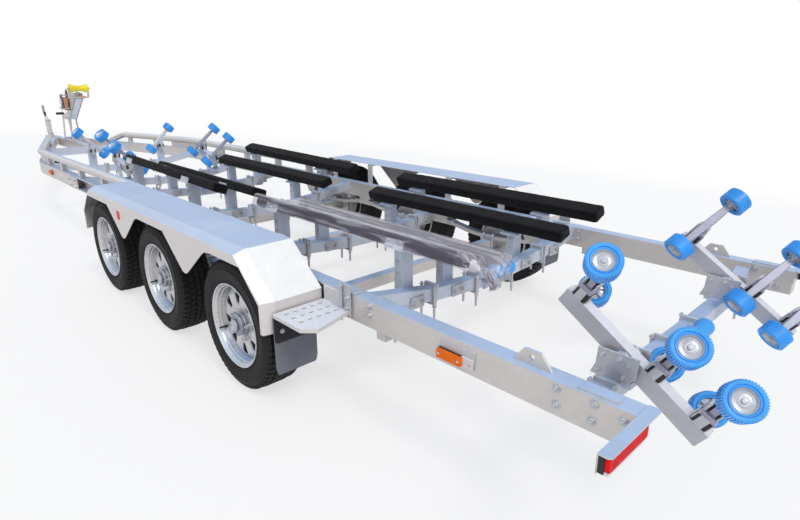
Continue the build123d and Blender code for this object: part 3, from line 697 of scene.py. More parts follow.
hubSettings = {
    "cap": [(0.0195, 0.0865), (0.016, 0.0885), (0.011, 0.0902), (0.0, 0.0905)],
    "lip": [(0.0265, 0.0835), (0.0285, 0.0840), (0.0285, 0.0868), (0.0265, 0.0880), (0.0225, 0.0870),
            (0.0205, 0.0850)],
    "bands": [[(0.0512, 0.050), (0.0530, 0.051), (0.0530, 0.056), (0.0512, 0.0572)],
              [(0.0508, 0.0695), (0.0522, 0.0705), (0.0522, 0.0735), (0.0508, 0.0745)]],
    "nuts": 5,
    "nutCircle": 0.072,
    "nut": [(0.0, 0.0435), (0.013, 0.0435), (0.013, 0.047), (0.0112, 0.048), (0.0112, 0.062),
            (0.0092, 0.0650), (0.0, 0.0650)],
    "stud": [(0.0, 0.063), (0.0062, 0.063), (0.0062, 0.0715), (0.0050, 0.0730), (0.0, 0.0730)],
    "valve": [(0.0, -0.010), (0.0075, -0.010), (0.0065, 0.006), (0.0045, 0.010), (0.0045, 0.030),
              (0.0, 0.031)],
}


def makeHub(s):
    # the cap, its lip and the wheel nuts, seen from outside along Z
    shape = newShape()
    lathe(shape, s["cap"], still, 32)
    lathe(shape, s["lip"], still, 40, 0, True)
    for band in s["bands"]:
        lathe(shape, band, still, 48, 0, True)
    for k in range(s["nuts"]):
        angle = 2 * math.pi * (k + 0.3) / s["nuts"]
        place = Matrix.Translation((s["nutCircle"] * math.cos(angle), s["nutCircle"] * math.sin(angle), 0.0))
        lathe(shape, s["nut"], place, 6)
        lathe(shape, s["stud"], place, 12)
    lathe(shape, s["valve"], placeAt((0.150, 0, 0.062), (0.35, 0, 1)), 12, 1)
    return buildMesh("hub", shape, [boltZinc, blackNylon], 30)


rimSettings = {
    "spokes": 8,
    "discIn": 0.060,
    "discOut": 0.1735,
    "windowIn": 0.096,
    "windowOut": 0.1485,
    "windowMid": 0.127,
    "halfIn": 0.0095,
    "halfOut": 0.0275,
    "corner": 0.0085,
    "skin": 0.0045,
    "lip": 0.0060,  # how far the pressed lip reaches round a window
    "crown": [(0.060, 0.0440), (0.074, 0.0440), (0.086, 0.0492), (0.098, 0.0512), (0.132, 0.0512),
              (0.150, 0.0488), (0.160, 0.0430), (0.1735, 0.0320)],
    "barrel": [(0.1730, -0.0710), (0.1890, -0.0710), (0.1890, 0.0720), (0.2000, 0.0850), (0.2012, 0.0895),
               (0.1998, 0.0922), (0.1960, 0.0922), (0.1928, 0.0895), (0.1905, 0.0835), (0.1850, 0.0800),
               (0.1828, 0.0765), (0.1815, 0.0660), (0.1775, 0.0630), (0.1765, 0.0500), (0.1742, 0.0455),
               (0.1735, 0.0300), (0.1600, 0.0210), (0.1600, -0.0380), (0.1730, -0.0500)],
    "hub": [(0.0240, 0.0300), (0.0610, 0.0300), (0.0615, 0.0450), (0.0540, 0.0462), (0.0510, 0.0490),
            (0.0510, 0.0740), (0.0440, 0.0790), (0.0330, 0.0792), (0.0330, 0.0760), (0.0270, 0.0760),
            (0.0270, 0.0840), (0.0240, 0.0840)],
    "drum": [(0.0240, -0.1380), (0.1165, -0.1380), (0.1225, -0.1365), (0.1250, -0.1310), (0.1250, -0.0700),
             (0.1000, -0.0600), (0.0600, -0.0500), (0.0600, 0.0302), (0.0240, 0.0302)],
    "backing": [(0.0602, 0.0080), (0.1590, 0.0080), (0.1592, -0.0360), (0.1598, -0.0360), (0.1598, 0.0200),
                (0.1572, 0.0215), (0.1300, 0.0150), (0.0602, 0.0150)],
}


def roundedPath(points, radius, steps):
    # outline with each corner turned into an arc
    path = []
    for i, point in enumerate(points):
        corner = Vector(point)
        back = (Vector(points[i - 1]) - corner).normalized()
        on = (Vector(points[(i + 1) % len(points)]) - corner).normalized()
        half = back.angle(on) / 2
        reach = radius / math.tan(half)
        middle = corner + (back + on).normalized() * (radius / math.sin(half))
        first, last = corner + back * reach - middle, corner + on * reach - middle
        turn = first.angle_signed(last)
        for k in range(steps + 1):
            a = -turn * k / steps
            path.append(middle + Vector((first.x * math.cos(a) - first.y * math.sin(a),
                                         first.x * math.sin(a) + first.y * math.cos(a))))
    return path


def crownAt(crown, radius):
    for (r0, z0), (r1, z1) in zip(crown, crown[1:]):
        if radius <= r1:
            return z0 + (z1 - z0) * max(0.0, radius - r0) / (r1 - r0)
    return crown[-1][1]


def reachOf(outline, middle, way):
    # how far the outline lies from its middle along a direction
    best = 1.0
    for a, b in zip(outline, outline[1:] + outline[:1]):
        edge, gap = b - a, a - middle
        cross = way.x * edge.y - way.y * edge.x
        if abs(cross) > 1e-12:
            along = (gap.x * edge.y - gap.y * edge.x) / cross
            share = (gap.x * way.y - gap.y * way.x) / cross
            if along > 1e-6 and -1e-6 <= share <= 1 + 1e-6:
                best = min(best, along)
    return best


def sectorEdge(s):
    # border of one sector of the disc: inner arc, side, outer arc, side
    halfTurn = math.pi / s["spokes"]
    inner, deep = s["discIn"], s["discOut"] - s["discIn"]
    border = [(-1 + 2 * k / 6, inner) for k in range(6)]
    border += [(1, inner + deep * k / 10) for k in range(10)]
    border += [(1 - 2 * k / 8, s["discOut"]) for k in range(8)]
    border += [(-1, s["discOut"] - deep * k / 10) for k in range(10)]
    arcs = list(range(6)) + list(range(16, 24))  # the points that start a piece of the two arcs
    return [Vector((r * math.sin(halfTurn * t), r * math.cos(halfTurn * t))) for t, r in border], arcs


def addDisc(shape, s):
    # pressed disc: each sector runs in loops from its border to its window
    low, high, inner, outer = s["windowIn"], s["windowOut"], s["halfIn"], s["halfOut"]
    corners = [(-inner, low), (inner, low), (outer, high), (-outer, high)]
    window = roundedPath(corners, s["corner"], 4)
    middle = Vector((0.0, s["windowMid"]))
    edge, arcs = sectorEdge(s)
    count = len(edge)
    ways = [(point - middle).normalized() for point in edge]
    rims = [middle + way * reachOf(window, middle, way) for way in ways]
    verts = []
    for share, grown, lift in ((0.0, s["lip"], 0.0), (0.55, s["lip"], 0.0), (1.0, s["lip"], 0.0),
                               (1.0, 0.0030, 0.0014), (1.0, 0.0008, 0.0006), (1.0, 0.0, -0.0014),
                               (1.0, 0.0, -s["skin"] - 0.0012), (0.0, s["lip"], -s["skin"])):
        for point, way, rim in zip(edge, ways, rims):
            spot = point.lerp(rim + way * grown, share)
            verts.append((spot.x, spot.y, crownAt(s["crown"], spot.length) + lift))
    last = len(verts) - count
    faces = bandFaces(count, len(verts) // count)
    faces += [[last + i, last + (i + 1) % count, (i + 1) % count, i] for i in arcs]
    for k in range(s["spokes"]):
        put(shape, verts, faces, spun(2 * math.pi * k / s["spokes"]))


def makeRim(s):
    # stepped barrel, pressed disc, hub and the brake drum behind it, seen from outside along Z
    shape = newShape()
    lathe(shape, s["barrel"], still, 72, 0, True)
    addDisc(shape, s)
    lathe(shape, s["hub"], still, 48, 2, True)
    lathe(shape, s["drum"], still, 56, 0, True)
    # the backing plate is drum-iron dark: partly its own dark iron, partly painted shade that darkens the
    # disc's windows
    lathe(shape, s["backing"], still, 56, 1, True)
    return buildMesh("rim", shape, [wheelZinc, drumIron, hubSteel], 28)


wheelSettings = {
    "across": 1.0125,
    "hubTurn": math.radians(22.5),
    "rimTurn": (math.radians(6.0), math.radians(17.0)),  # on the rear axle, and more for each axle ahead
    "tyreTurn": (0.7, 1.9, 0.8),  # the same, and more for the side
}


def fitWheel(i, row, side, sign, s):
    body, end = f"wheel_{row}_{side}", row.title() + side.title()
    place = placeAt((ahead(i * axlePitch), sign * s["across"], tyreSettings["radius"]), (0, sign, 0))
    start, each, mirror = s["tyreTurn"]
    tyre = gather("tyre" + end, [(tyreMesh, place @ spun(start + each * i + mirror * sign))], 40)
    ready(tyre, body, "tyre_rubber", f"tyre_{row}_{side}")
    ready(gather("hub" + end, [(hubMesh, place @ spun(s["hubTurn"]))], 30), body, "wheel_steel")
    start, each = s["rimTurn"]
    rim = gather("rim" + end, [(rimMesh, place @ spun((start + each * i) * sign))], 30)
    ready(rim, body, "wheel_steel", f"rim_{row}_{side}")


tyreMesh, hubMesh, rimMesh = makeTyre(tyreSettings), makeHub(hubSettings), makeRim(rimSettings)
for i, row in enumerate(("rear", "mid", "front")):
    for side, sign in sides:
        fitWheel(i, row, side, sign, wheelSettings)
print("tyres and hubs:", len(tyreMesh.polygons), "faces a tyre")

# hull rollers
rollerSettings = {
    "radius": 0.0575,
    "width": 0.062,
    "apart": 0.324,
    "ribs": 44,
    "ribDepth": 0.0034,
    "ribWidth": 0.0046,
    "ribInset": 0.00375,
    "axle": 0.010,
    "axleEnd": 0.012,
    "collar": 0.0165,
    "webs": 6,
    # radius, and how far in from the roller's face
    "face": [(0.0345, 0.0055), (0.0358, 0.0022), (0.0392, 0.0014), (0.0400, 0.0044), (0.0424, 0.0044),
             (0.0436, 0.0006), (0.0470, 0.0)],
    "dish": [(0.0352, 0.0052), (0.0342, 0.0034), (0.0318, 0.0062), (0.0285, 0.0122), (0.0205, 0.0150),
             (0.0145, 0.0134), (0.0145, 0.0100), (0.0, 0.0100)],
    "nut": [(0.0, 0.0120), (0.0088, 0.0120), (0.0088, 0.0048), (0.0070, 0.0030), (0.0, 0.0026)],
    "back": [(0.0, 0.004), (0.014, 0.004), (0.016, 0.008), (0.029, 0.0140)],
}


def makeRoller(s):
    # one roller about its axis; its outer face looks along +Z
    half, r = s["width"] / 2, s["radius"]
    root = r - s["ribDepth"] + 0.0006
    face = [(radius, half - inset) for radius, inset in s["face"]]
    face += [(root - 0.003, half), (root, half - 0.003)]
    drum = newShape()
    lathe(drum, bothWays(face), still, 66, 0, True)
    blue = grow("rollerBlue", buildMesh("rollerCore", drum, [blueRoller], 35), ribTree, {
        "Ribs": s["ribs"], "Drum Radius": r - s["ribDepth"] / 2 - 0.0001, "Rib Depth": s["ribDepth"],
        "Rib Width": s["ribWidth"], "Rib Length": s["width"] - 2 * s["ribInset"], "Material": blueRoller})
    steel = newShape()
    dish = [(radius, half - inset) for radius, inset in s["dish"]]
    lathe(steel, [(0.0340, -0.019), (0.0352, -0.017)] + dish, still, 40)
    lathe(steel, [(radius, half - inset) for radius, inset in s["nut"]], still, 6)
    back = [(radius, inset - half) for radius, inset in s["back"]]
    lathe(steel, back + [(0.0342, -0.0170), (0.0342, -0.0150)], still, 40)
    for k in range(s["webs"]):  # webs of the inner face
        place = spun(2 * math.pi * k / s["webs"]) @ Matrix.Translation((0.0235, 0, 0.0085 - half))
        bar(steel, (0.020, 0.0035, 0.010), place, 0.0008)
    return blue, buildMesh("rollerSteel", steel, [discZinc], 28)


def makeRollerAxle(s):
    shape = newShape()
    reach = s["apart"] / 2
    rod(shape, s["axle"], -reach - s["axleEnd"], reach + s["axleEnd"], still, 20)
    for end in (-1, 1):
        place = Matrix.Translation((0, 0, end * (reach - s["width"] / 2 - 0.002)))
        rod(shape, s["collar"], -0.004, 0.004, place, 20)
    return buildMesh("rollerAxle", shape, [boltZinc], 30)


rockerSettings = {
    "drop": 0.125,
    "wide": 0.050,
    "tall": 0.060,
    "wall": 0.006,
    "boss": 0.0225,
    "bossHalf": 0.0295,
    "pin": 0.0132,
    "armLong": 0.121,
    "armThick": 0.0115,
    "armWaist": (0.0180, 0.036),
    "armEnd": 0.0140,
    "seat": ((0.052, 0.054, 0.018), 0.048),  # sizes, and drop below the arm
    "neck": ((0.022, 0.036, 0.034), 0.027),
}


def makeRocker(centre, ways, reach, spots, s):
    # channel arm on its pivot sleeve, with a saddle and an axle bar for each pair of rollers
    shape = newShape()
    along, out, up = ways
    back, front, pivot = reach
    spine = centre - up * s["drop"]
    half, high, wall = s["wide"] / 2, s["tall"] / 2, s["wall"]
    channel = [(-half, -high), (wall - half, -high), (wall - half, high - wall), (half - wall, high - wall),
               (half - wall, -high), (half, -high), (half, high), (-half, high)]
    prism(shape, channel, back, front, placeAt(spine, along, (0, 1, 0)), 0.0016)
    pin, boss, deep = s["pin"], s["boss"], s["bossHalf"]
    sleeve = [(pin, -deep), (boss, -deep), (boss, deep), (pin, deep)]
    lathe(shape, sleeve, placeAt(spine + along * pivot, (0, 1, 0)), 32, 0, True)
    (waist, belly), end, long = s["armWaist"], s["armEnd"], s["armLong"]
    plan = [(-end, -long), (end, -long), (waist, -belly), (waist, belly), (end, long), (-end, long),
            (-waist, belly), (-waist, -belly)]
    for u in spots:
        spot = centre + along * u
        for (size, drop), chamfer in ((s["seat"], 0.0016), (s["neck"], 0.0012)):
            bar(shape, size, placeAt(spot - up * drop, up, along), chamfer, 1)
        across = along.cross((out + up).normalized())
        prism(shape, plan, -s["armThick"], s["armThick"], placeAt(spot, across, along), 0.0030, 1)
    return buildPiece("rocker", shape, [rockerZinc, armZincShaded], 30)


clampSettings = {
    "block": (0.056, 0.054, 0.036),
    "blockDrop": 0.077,
    "cheek": ((0.005, 0.046, 0.050), 0.0212, 0.043),  # sizes, how far out and up from the block
    "wrap": ((0.030, 0.0036, 0.044), 0.0286, 0.002),
    "fold": ((0.0036, 0.026, 0.038), 0.0295, 0.001),
    "strapLegs": (0.022, 0.024, -0.012, 0.062),  # out, along, foot and top
    "strapRadius": 0.0042,
    "strapBend": 0.014,
    "nut": (0.018, 0.018, 0.021),
}


def addClamp(clamps, straps, nuts, centre, ways, s):
    # nylon block with its steel, a strap over the axle and two nuts
    along, out, up = ways
    base = centre - up * s["blockDrop"]
    bar(clamps, s["block"], placeAt(base, up, along), 0.003, 0, 0.006)
    size, away, lift = s["cheek"]
    for e in (-1, 1):
        bar(clamps, size, placeAt(base + along * (e * away) + up * lift, up, along), 0.001, 1)
    for e in (-1, 1):
        for way, (size, away, lift) in ((out, s["wrap"]), (along, s["fold"])):
            bar(clamps, size, placeAt(base + way * (e * away) + up * lift, up, along), 0.0010, 1)
    away, shift, foot, top = s["strapLegs"]
    left, right = (base + out * (e * away) + along * shift for e in (-1, 1))
    straps.append([left + up * foot, left + up * top, right + up * top, right + up * foot])
    away, shift, lift = s["nut"]
    nuts += [(*(base + out * (e * away) + along * shift + up * lift), tuple(up), 0.7) for e in (-1, 1)]


cradleTable = [
    # rollers, what carries them, ahead, y, z, tilt, places along the arm, the arm's back, front and pivot
    ("rear_rollers", "rear_cradle", -1.680, 0.500, 0.575, 34.0, (0.330, 0.0, -0.180),
     (-0.225, 0.375, 0.093)),
    ("front_rollers", "front_cradle", 3.300, 0.430, 0.728, 14.0, (0.155, -0.155), (-0.200, 0.200, 0.012)),
    ("nose_rollers", "chassis", 4.450, 0.365, 0.712, 0.0, (0.0,), None),
]
rollerBlue, rollerSteel = makeRoller(rollerSettings)
rollerAxle = makeRollerAxle(rollerSettings)


def armWays(tilt, sign):
    c, s = math.cos(math.radians(tilt)), math.sin(math.radians(tilt))
    return Vector((c, 0, s)), Vector((0, sign, 0)), Vector((-s, 0, c))


def rollerPair(name, k, centre, ways):
    along, out, up = ways
    axis = (out + up).normalized()
    parts = []
    for end in (1, -1):
        spot = placeAt(centre + axis * (end * rollerSettings["apart"] / 2), axis * end, along)
        spot = spot @ spun(0.4 * k + 0.9 * end)
        parts += [(rollerBlue, spot), (rollerSteel, spot)]
    return gather(name, parts + [(rollerAxle, placeAt(centre, axis, along))], 30)


for stem, carrier, distance, y, z, tilt, spots, reach in cradleTable:
    for side, sign in sides:
        ways = armWays(tilt, sign)
        middle = Vector((ahead(distance), sign * y, z))
        start, end = stem.replace("_", ""), side.title()
        clamps, straps, nuts = newShape(), [], []
        for k, u in enumerate(spots):
            centre = middle + ways[0] * u
            body = f"{stem}_{side}" if len(spots) == 1 else f"{stem}_{k + 1}_{side}"
            ready(rollerPair(f"{start}{k + 1}{end}", k, centre, ways), body, "roller_blue", body)
            addClamp(clamps, straps, nuts, centre, ways, clampSettings)
        blocks = buildMesh(f"{start}Clamps{end}", clamps, [blackNylon, zincPlate], 35)
        radius, bend = clampSettings["strapRadius"], clampSettings["strapBend"]
        strapMesh = rodMesh("clampStraps", straps, radius, bend, 8)
        both = gather(f"{start}Clamps{end}Set", [(blocks, still), (strapMesh, still)], 35)
        body = f"{carrier}_{side}" if reach else carrier
        if reach:
            rocker = makeRocker(middle, ways, reach, spots, rockerSettings)
            rocker.name = f"{carrier.replace('_cradle', '')}Rocker{end}"
            ready(rocker, body, "galvanised_steel", body.replace("cradle", "rocker"))
        ready(both, body, "handle_black")
        addBolts(f"{start}Nuts{end}", body, nuts)
print("hull rollers and their clamps made")

# bunks wrapped in carpet
bunkSettings = {
    "wide": 0.100,
    "tall": 0.062,
    "corner": 0.013,
    "stations": 44,
    "end": (0.0, 0.002, 0.006, 0.014),  # stations that round each end
    "shrink": 0.10,
    "step": 0.012,
    "pile": 0.0016,
}
bunkTable = [
    # node, ahead of the back end, of the front end, y, z back, z front, tilt
    ("bunks_front", 1.130, 2.720, 0.548, 0.708, 0.742, 22.0),
    ("bunks_front", 1.120, 2.750, 0.278, 0.642, 0.658, 18.0),
    ("bunks_rear", -0.880, 0.612, 0.548, 0.706, 0.708, 22.0),
    ("bunks_rear", -0.840, 0.600, 0.278, 0.642, 0.646, 18.0),
]


def bunkShape(shape, row, sign, s):
    back, front, y, zBack, zFront, tilt = row
    start, finish = Vector((ahead(back), sign * y, zBack)), Vector((ahead(front), sign * y, zFront))
    run = finish - start
    length = run.length
    run.normalize()
    t = math.radians(tilt)
    flat, rise = Vector((0, sign, 0)), Vector((-run.z, 0, run.x))
    out, up = flat * math.cos(t) + rise * math.sin(t), rise * math.cos(t) - flat * math.sin(t)
    outline = roundedRect(s["wide"] - 2 * s["pile"], s["tall"] - 2 * s["pile"], s["corner"], 4)
    fine = []
    for p, q in zip(outline, outline[1:] + outline[:1]):  # extra points on the flats, so the pile can waver
        steps = max(1, round(math.dist(p, q) / s["step"]))
        fine += [(p[0] + (q[0] - p[0]) * n / steps, p[1] + (q[1] - p[1]) * n / steps) for n in range(steps)]
    count, rounding = len(fine), s["end"][-1]
    stations = list(s["end"])
    stations += [rounding + (length - 2 * rounding) * n / s["stations"] for n in range(1, s["stations"])]
    stations += [length - d for d in s["end"][::-1]]
    verts = []
    for d in stations:
        middle = start + run * d
        shrink = 1 - s["shrink"] * max(0.0, 1.0 - min(d, length - d) / rounding) ** 2
        for px, py in fine:
            spot = middle + out * (px * shrink) + up * (py * shrink)
            waver = noise.noise(spot * 38.0) * 0.7 + noise.noise(spot * 130.0) * 0.5
            lift = s["pile"] * max(-1.0, min(1.0, waver * 1.6))
            verts.append(spot + (spot - middle).normalized() * lift)
    rows = len(stations)
    faces = bandFaces(count, rows)
    for n, sunk in ((0, 0.0012), (rows - 1, -0.0012)):
        hub = len(verts)
        verts.append(start + run * (stations[n] + sunk))
        for i in range(count):
            tri = [n * count + i, n * count + (i + 1) % count, hub]
            faces.append(tri if n else tri[::-1])
    put(shape, verts, faces)


for node in ("bunks_front", "bunks_rear"):
    shape = newShape()
    for name, *row in bunkTable:
        if name == node:
            for sign in (1, -1):
                bunkShape(shape, row, sign, bunkSettings)
    piece = buildPiece("carpet" + node.split("_")[1].title(), shape, [carpet], 60)
    ready(piece, "chassis", "bunk_carpet", node)
print("bunks made")

# fasteners and plates of the frame
frameSettings = {
    "railBolt": 1.0,
    "smallBolt": 0.62,
    "clampBolt": 0.72,
    "rod": 0.0058,
    "rodBend": 0.012,
    "outerBolts": [(-1.483, 0.527), (-1.601, 0.528), (-1.686, 0.515), (-1.485, 0.474), (-1.599, 0.473),
                   (-0.652, 0.530), (-0.652, 0.492), (3.330, 0.520), (3.330, 0.462), (3.470, 0.520),
                   (3.470, 0.462)],
    "innerBolts": [(-1.563, 0.527), (-1.661, 0.463), (-1.485, 0.478), (-0.653, 0.529), (-0.657, 0.487),
                   (-0.480, 0.520), (-0.480, 0.470)],
    "railIn": 0.771,
    "channelStep": 0.008,  # how far the mid rails stand off the rear rails' faces
    "noseBolts": (6.98, 7.06, 7.14),
    "hangerBolts": (-0.04, 0.43, 1.29, 1.76),
    "hangerFace": 0.850,
}


def noseRailFace(distance):
    # outer face of the front rail where it runs in to the drawbar
    return 0.752 - 0.26816 * (distance - 4.85) + 0.0363, (0.259, 0.966, 0.0)


def railBolts(s):
    rows = []
    for distance, z in s["outerBolts"]:
        step = s["channelStep"] if distance > 3.0 else 0.0
        rows.append((ahead(distance), railOut + step, z, (0, 1, 0), s["railBolt"]))
    for distance, z in s["innerBolts"]:
        step = s["channelStep"] if distance > -0.7 else 0.0
        rows.append((ahead(distance), s["railIn"] - step, z, (0, -1, 0), s["railBolt"]))
    for distance in s["noseBolts"]:
        y, facing = noseRailFace(distance)
        rows += [(ahead(distance), y, z, facing, 0.8) for z in (0.518, 0.466)]
    for distance in s["hangerBolts"]:
        rows += [(ahead(distance) + dx, s["hangerFace"], z, (0, 1, 0), s["smallBolt"])
                 for dx in (-0.013, 0.013) for z in (0.468, 0.520)]
    return rows + [(x, -y, z, (f[0], -f[1], f[2]), size) for x, y, z, f, size in rows]


jointSettings = {
    "plate": (0.078, 0.100, 0.014),
    "beside": 0.040,  # from the plate's middle to the rods beside it
    "shift": 0.016,
    "rodTop": 0.044,
    "rodFoot": -0.108,
    "nuts": ((-0.050, -1), (0.038, 1)),
    "bolt": frameSettings["clampBolt"],
}
middleJoints = ((0.430, 0.456), (0.130, 0.430))
memberTable = [
    # ahead, joints as (y, z)
    (-1.515, ((0.600, 0.420), (0.130, 0.412))),
    (-0.595, middleJoints),
    (0.380, middleJoints),
    (1.500, middleJoints),
    (2.550, middleJoints),
    (3.300, ((0.300, 0.445), (0.130, 0.430))),
    (4.450, ((0.240, 0.440), (0.130, 0.430))),
]


def memberJoints(s):
    # plates round the joints of the cross-members, each with a rod and two nuts on both sides
    plates, paths, nuts = newShape(), [], []
    for distance, joints in memberTable:
        x = ahead(distance)
        for y, z in joints:
            for sign in (1, -1):
                lean = math.radians(8 if y > 0.2 else 4) * sign
                across = Vector((0, math.cos(lean), math.sin(lean)))
                bar(plates, s["plate"], placeAt((x, sign * y, z), across), 0.0012)
                for beside in (-s["beside"], s["beside"]):
                    spot = (x + beside, sign * (y + s["shift"]))
                    paths.append([(*spot, z + s["rodTop"]), (*spot, z + s["rodFoot"])])
                    nuts += [(*spot, z + lift, (0, 0, way), s["bolt"]) for lift, way in s["nuts"]]
    return plates, paths, nuts


postSettings = {
    "drop": 0.043,  # from a bunk's middle to the top of its post
    "foot": ((0.080, 0.052, 0.007), 0.0345),  # sizes, and how far behind the member's middle
    "footBolts": (0.0380, 0.026, 0.8),  # behind the middle, to either side, size
    "sideBolts": (0.054, 0.035, (0.030, 0.078)),  # ahead, to either side, how far below the top
    "lowest": 0.50,
    "bunkBolts": (0.017, 0.087),
    "bunkFace": (0.0558, -0.004, 0.5),  # out and up from the bunk's middle, size
}
bunkPosts = [
    # ahead of the member, y, height of the bunk's middle there, tilt
    (1.500, 0.548, 0.717, 22.0),
    (2.550, 0.548, 0.740, 22.0),
    (1.500, 0.278, 0.646, 18.0),
    (2.550, 0.278, 0.657, 18.0),
    (-0.595, 0.548, 0.706, 22.0),
    (0.380, 0.548, 0.708, 22.0),
    (-0.595, 0.278, 0.643, 18.0),
    (0.380, 0.278, 0.645, 18.0),
]


def postHardware(s):
    # foot plates of the bunk posts, with the bolts of feet, posts and bunks
    plates, nuts = newShape(), []
    for distance, y, z, tilt in bunkPosts:
        x, top, t = ahead(distance), z - s["drop"], math.radians(tilt)
        foot = (0.456 if y > 0.4 else 0.442) - 0.002
        for sign in (1, -1):
            size, behind = s["foot"]
            bar(plates, size, placeAt((x - behind, sign * y, foot), (-1, 0, 0), (0, 1, 0)), 0.0012)
            for e in (-1, 1):
                behind, away, bolt = s["footBolts"]
                nuts.append((x - behind, sign * y + e * away, foot, (-1, 0, 0), bolt))
                front, away, drops = s["sideBolts"]
                nuts += [(x + front, sign * y + e * away, top - drop, (0, e, 0), frameSettings["smallBolt"])
                         for drop in drops if top - drop > s["lowest"]]
            out = Vector((0, sign * math.cos(t), math.sin(t)))
            up = Vector((0, -sign * math.sin(t), math.cos(t)))
            away, lift, bolt = s["bunkFace"]
            nuts += [(*(Vector((x + front, sign * y, z)) + out * away + up * lift), tuple(out), bolt)
                     for front in s["bunkBolts"]]
    return plates, nuts


springSettings = {
    "across": 0.803,
    "plates": (((0.120, 0.098, 0.010), 0.2745), ((0.100, 0.070, 0.008), 0.3695)),  # sizes, and height
    "legs": 0.037,
    "apart": 0.036,
    "foot": 0.250,
    "top": 0.380,
    "nuts": 0.2695,
    "bolt": frameSettings["clampBolt"],
}


def springHardware(s):
    # clamp plates and U-bolts where the axles lie on their springs
    plates, paths, nuts = newShape(), [], []
    for i in range(3):
        for sign in (1, -1):
            x, y = ahead(i * axlePitch), sign * s["across"]
            for size, z in s["plates"]:
                bar(plates, size, placeAt((x, y, z)), 0.0015)
            near, far = y - s["apart"], y + s["apart"]
            for leg in (x - s["legs"], x + s["legs"]):
                paths.append([(leg, near, s["foot"]), (leg, near, s["top"]), (leg, far, s["top"]),
                              (leg, far, s["foot"])])
                nuts += [(leg, end, s["nuts"], (0, 0, -1), s["bolt"]) for end in (near, far)]
    return plates, paths, nuts


spliceSettings = {
    "plate": ((0.072, 0.140, 0.006), (-0.510, 0.8525, 0.516)),
    "cap": ((0.090, 0.050, 0.007), (-0.512, 0.815, 0.5500)),
    "rod": (-0.497, 0.863, 0.428, 0.592),  # ahead, y, foot, top
    "rodNuts": ((0.444, -1), (0.580, 1)),
    "faceNuts": (-0.532, 0.8555, (0.490, 0.533)),
    "stub": (-0.760, 0.806, 0.400, 0.440),
    "bolt": 0.8,
}


def spliceHardware(s):
    # angle plates and the long clamp bolts beside the steps
    plates, paths, nuts = newShape(), [], []
    for sign in (1, -1):
        size, (d, y, z) = s["plate"]
        bar(plates, size, placeAt((ahead(d), sign * y, z), (0, sign, 0)), 0.001)
        size, (d, y, z) = s["cap"]
        bar(plates, size, placeAt((ahead(d), sign * y, z)), 0.001)
        for d, y, low, high in (s["rod"], s["stub"]):
            paths.append([(ahead(d), sign * y, low), (ahead(d), sign * y, high)])
        d, y = s["rod"][:2]
        nuts += [(ahead(d), sign * y, z, (0, 0, way), s["bolt"]) for z, way in s["rodNuts"]]
        d, y, heights = s["faceNuts"]
        nuts += [(ahead(d), sign * y, z, (0, sign, 0), s["bolt"]) for z in heights]
    return plates, paths, nuts


pivotSettings = {
    "across": 0.500,
    "apart": 0.0425,
    "thick": 0.003,
    "outline": [(-1.456, 0.548), (-1.594, 0.547), (-1.588, 0.474), (-1.560, 0.446), (-1.436, 0.446),
                (-1.452, 0.485)],
    "bolts": [(-1.473, 0.524, 0.9), (-1.529, 0.526, 0.9), (-1.561, 0.512, 0.7), (-1.462, 0.468, 0.9),
              (-1.548, 0.466, 0.9)],
}


def pivotPlates(s):
    # cheek plates of the rear cradles' pivots
    plates, nuts = newShape(), []
    outline = [(ahead(d), z) for d, z in s["outline"]]
    for sign in (1, -1):
        for face in (1, -1):
            y = sign * s["across"] + face * s["apart"]
            prism(plates, outline, -s["thick"], s["thick"], placeAt((0, y, 0), (0, -1, 0)), 0.0012)
            nuts += [(ahead(d), y + face * s["thick"], z, (0, face, 0), size) for d, z, size in s["bolts"]]
    return plates, nuts


addBolts("railBolts", "chassis", railBolts(frameSettings))
for name, (plates, paths, nuts) in (("memberJoints", memberJoints(jointSettings)),
                                    ("springClamps", springHardware(springSettings)),
                                    ("spliceClamps", spliceHardware(spliceSettings))):
    plateMesh = buildMesh(name + "Plates", plates, [zincPlate], 30)
    rods = rodMesh(name + "Rods", paths, frameSettings["rod"], frameSettings["rodBend"])
    ready(gather(name, [(plateMesh, still), (rods, still)], 30), "chassis", "galvanised_steel")
    addBolts(name + "Nuts", "chassis", nuts)
for name, (plates, nuts) in (("postPlates", postHardware(postSettings)),
                             ("pivotPlates", pivotPlates(pivotSettings))):
    ready(buildPiece(name, plates, [zincPlate], 30), "chassis", "galvanised_steel")
    addBolts(name + "Bolts", "chassis", nuts)
print("fasteners and plates made")

# lamps, reflectors and mud flaps
lampSettings = {
    "inside": 0.843,
    "outside": 1.058,
    "low": 0.4925,
    "high": 0.5445,
    "base": -1.7232,
    "holder": 0.0150,
    "face": -1.7525,
    "strip": 0.0142,  # height of the clear strip along the foot
    "ribs": 22,
    "rib": (0.0034, 0.020, 0.0016),  # width, how much shorter than the lamp, thickness
    "ribMargin": 0.008,
}


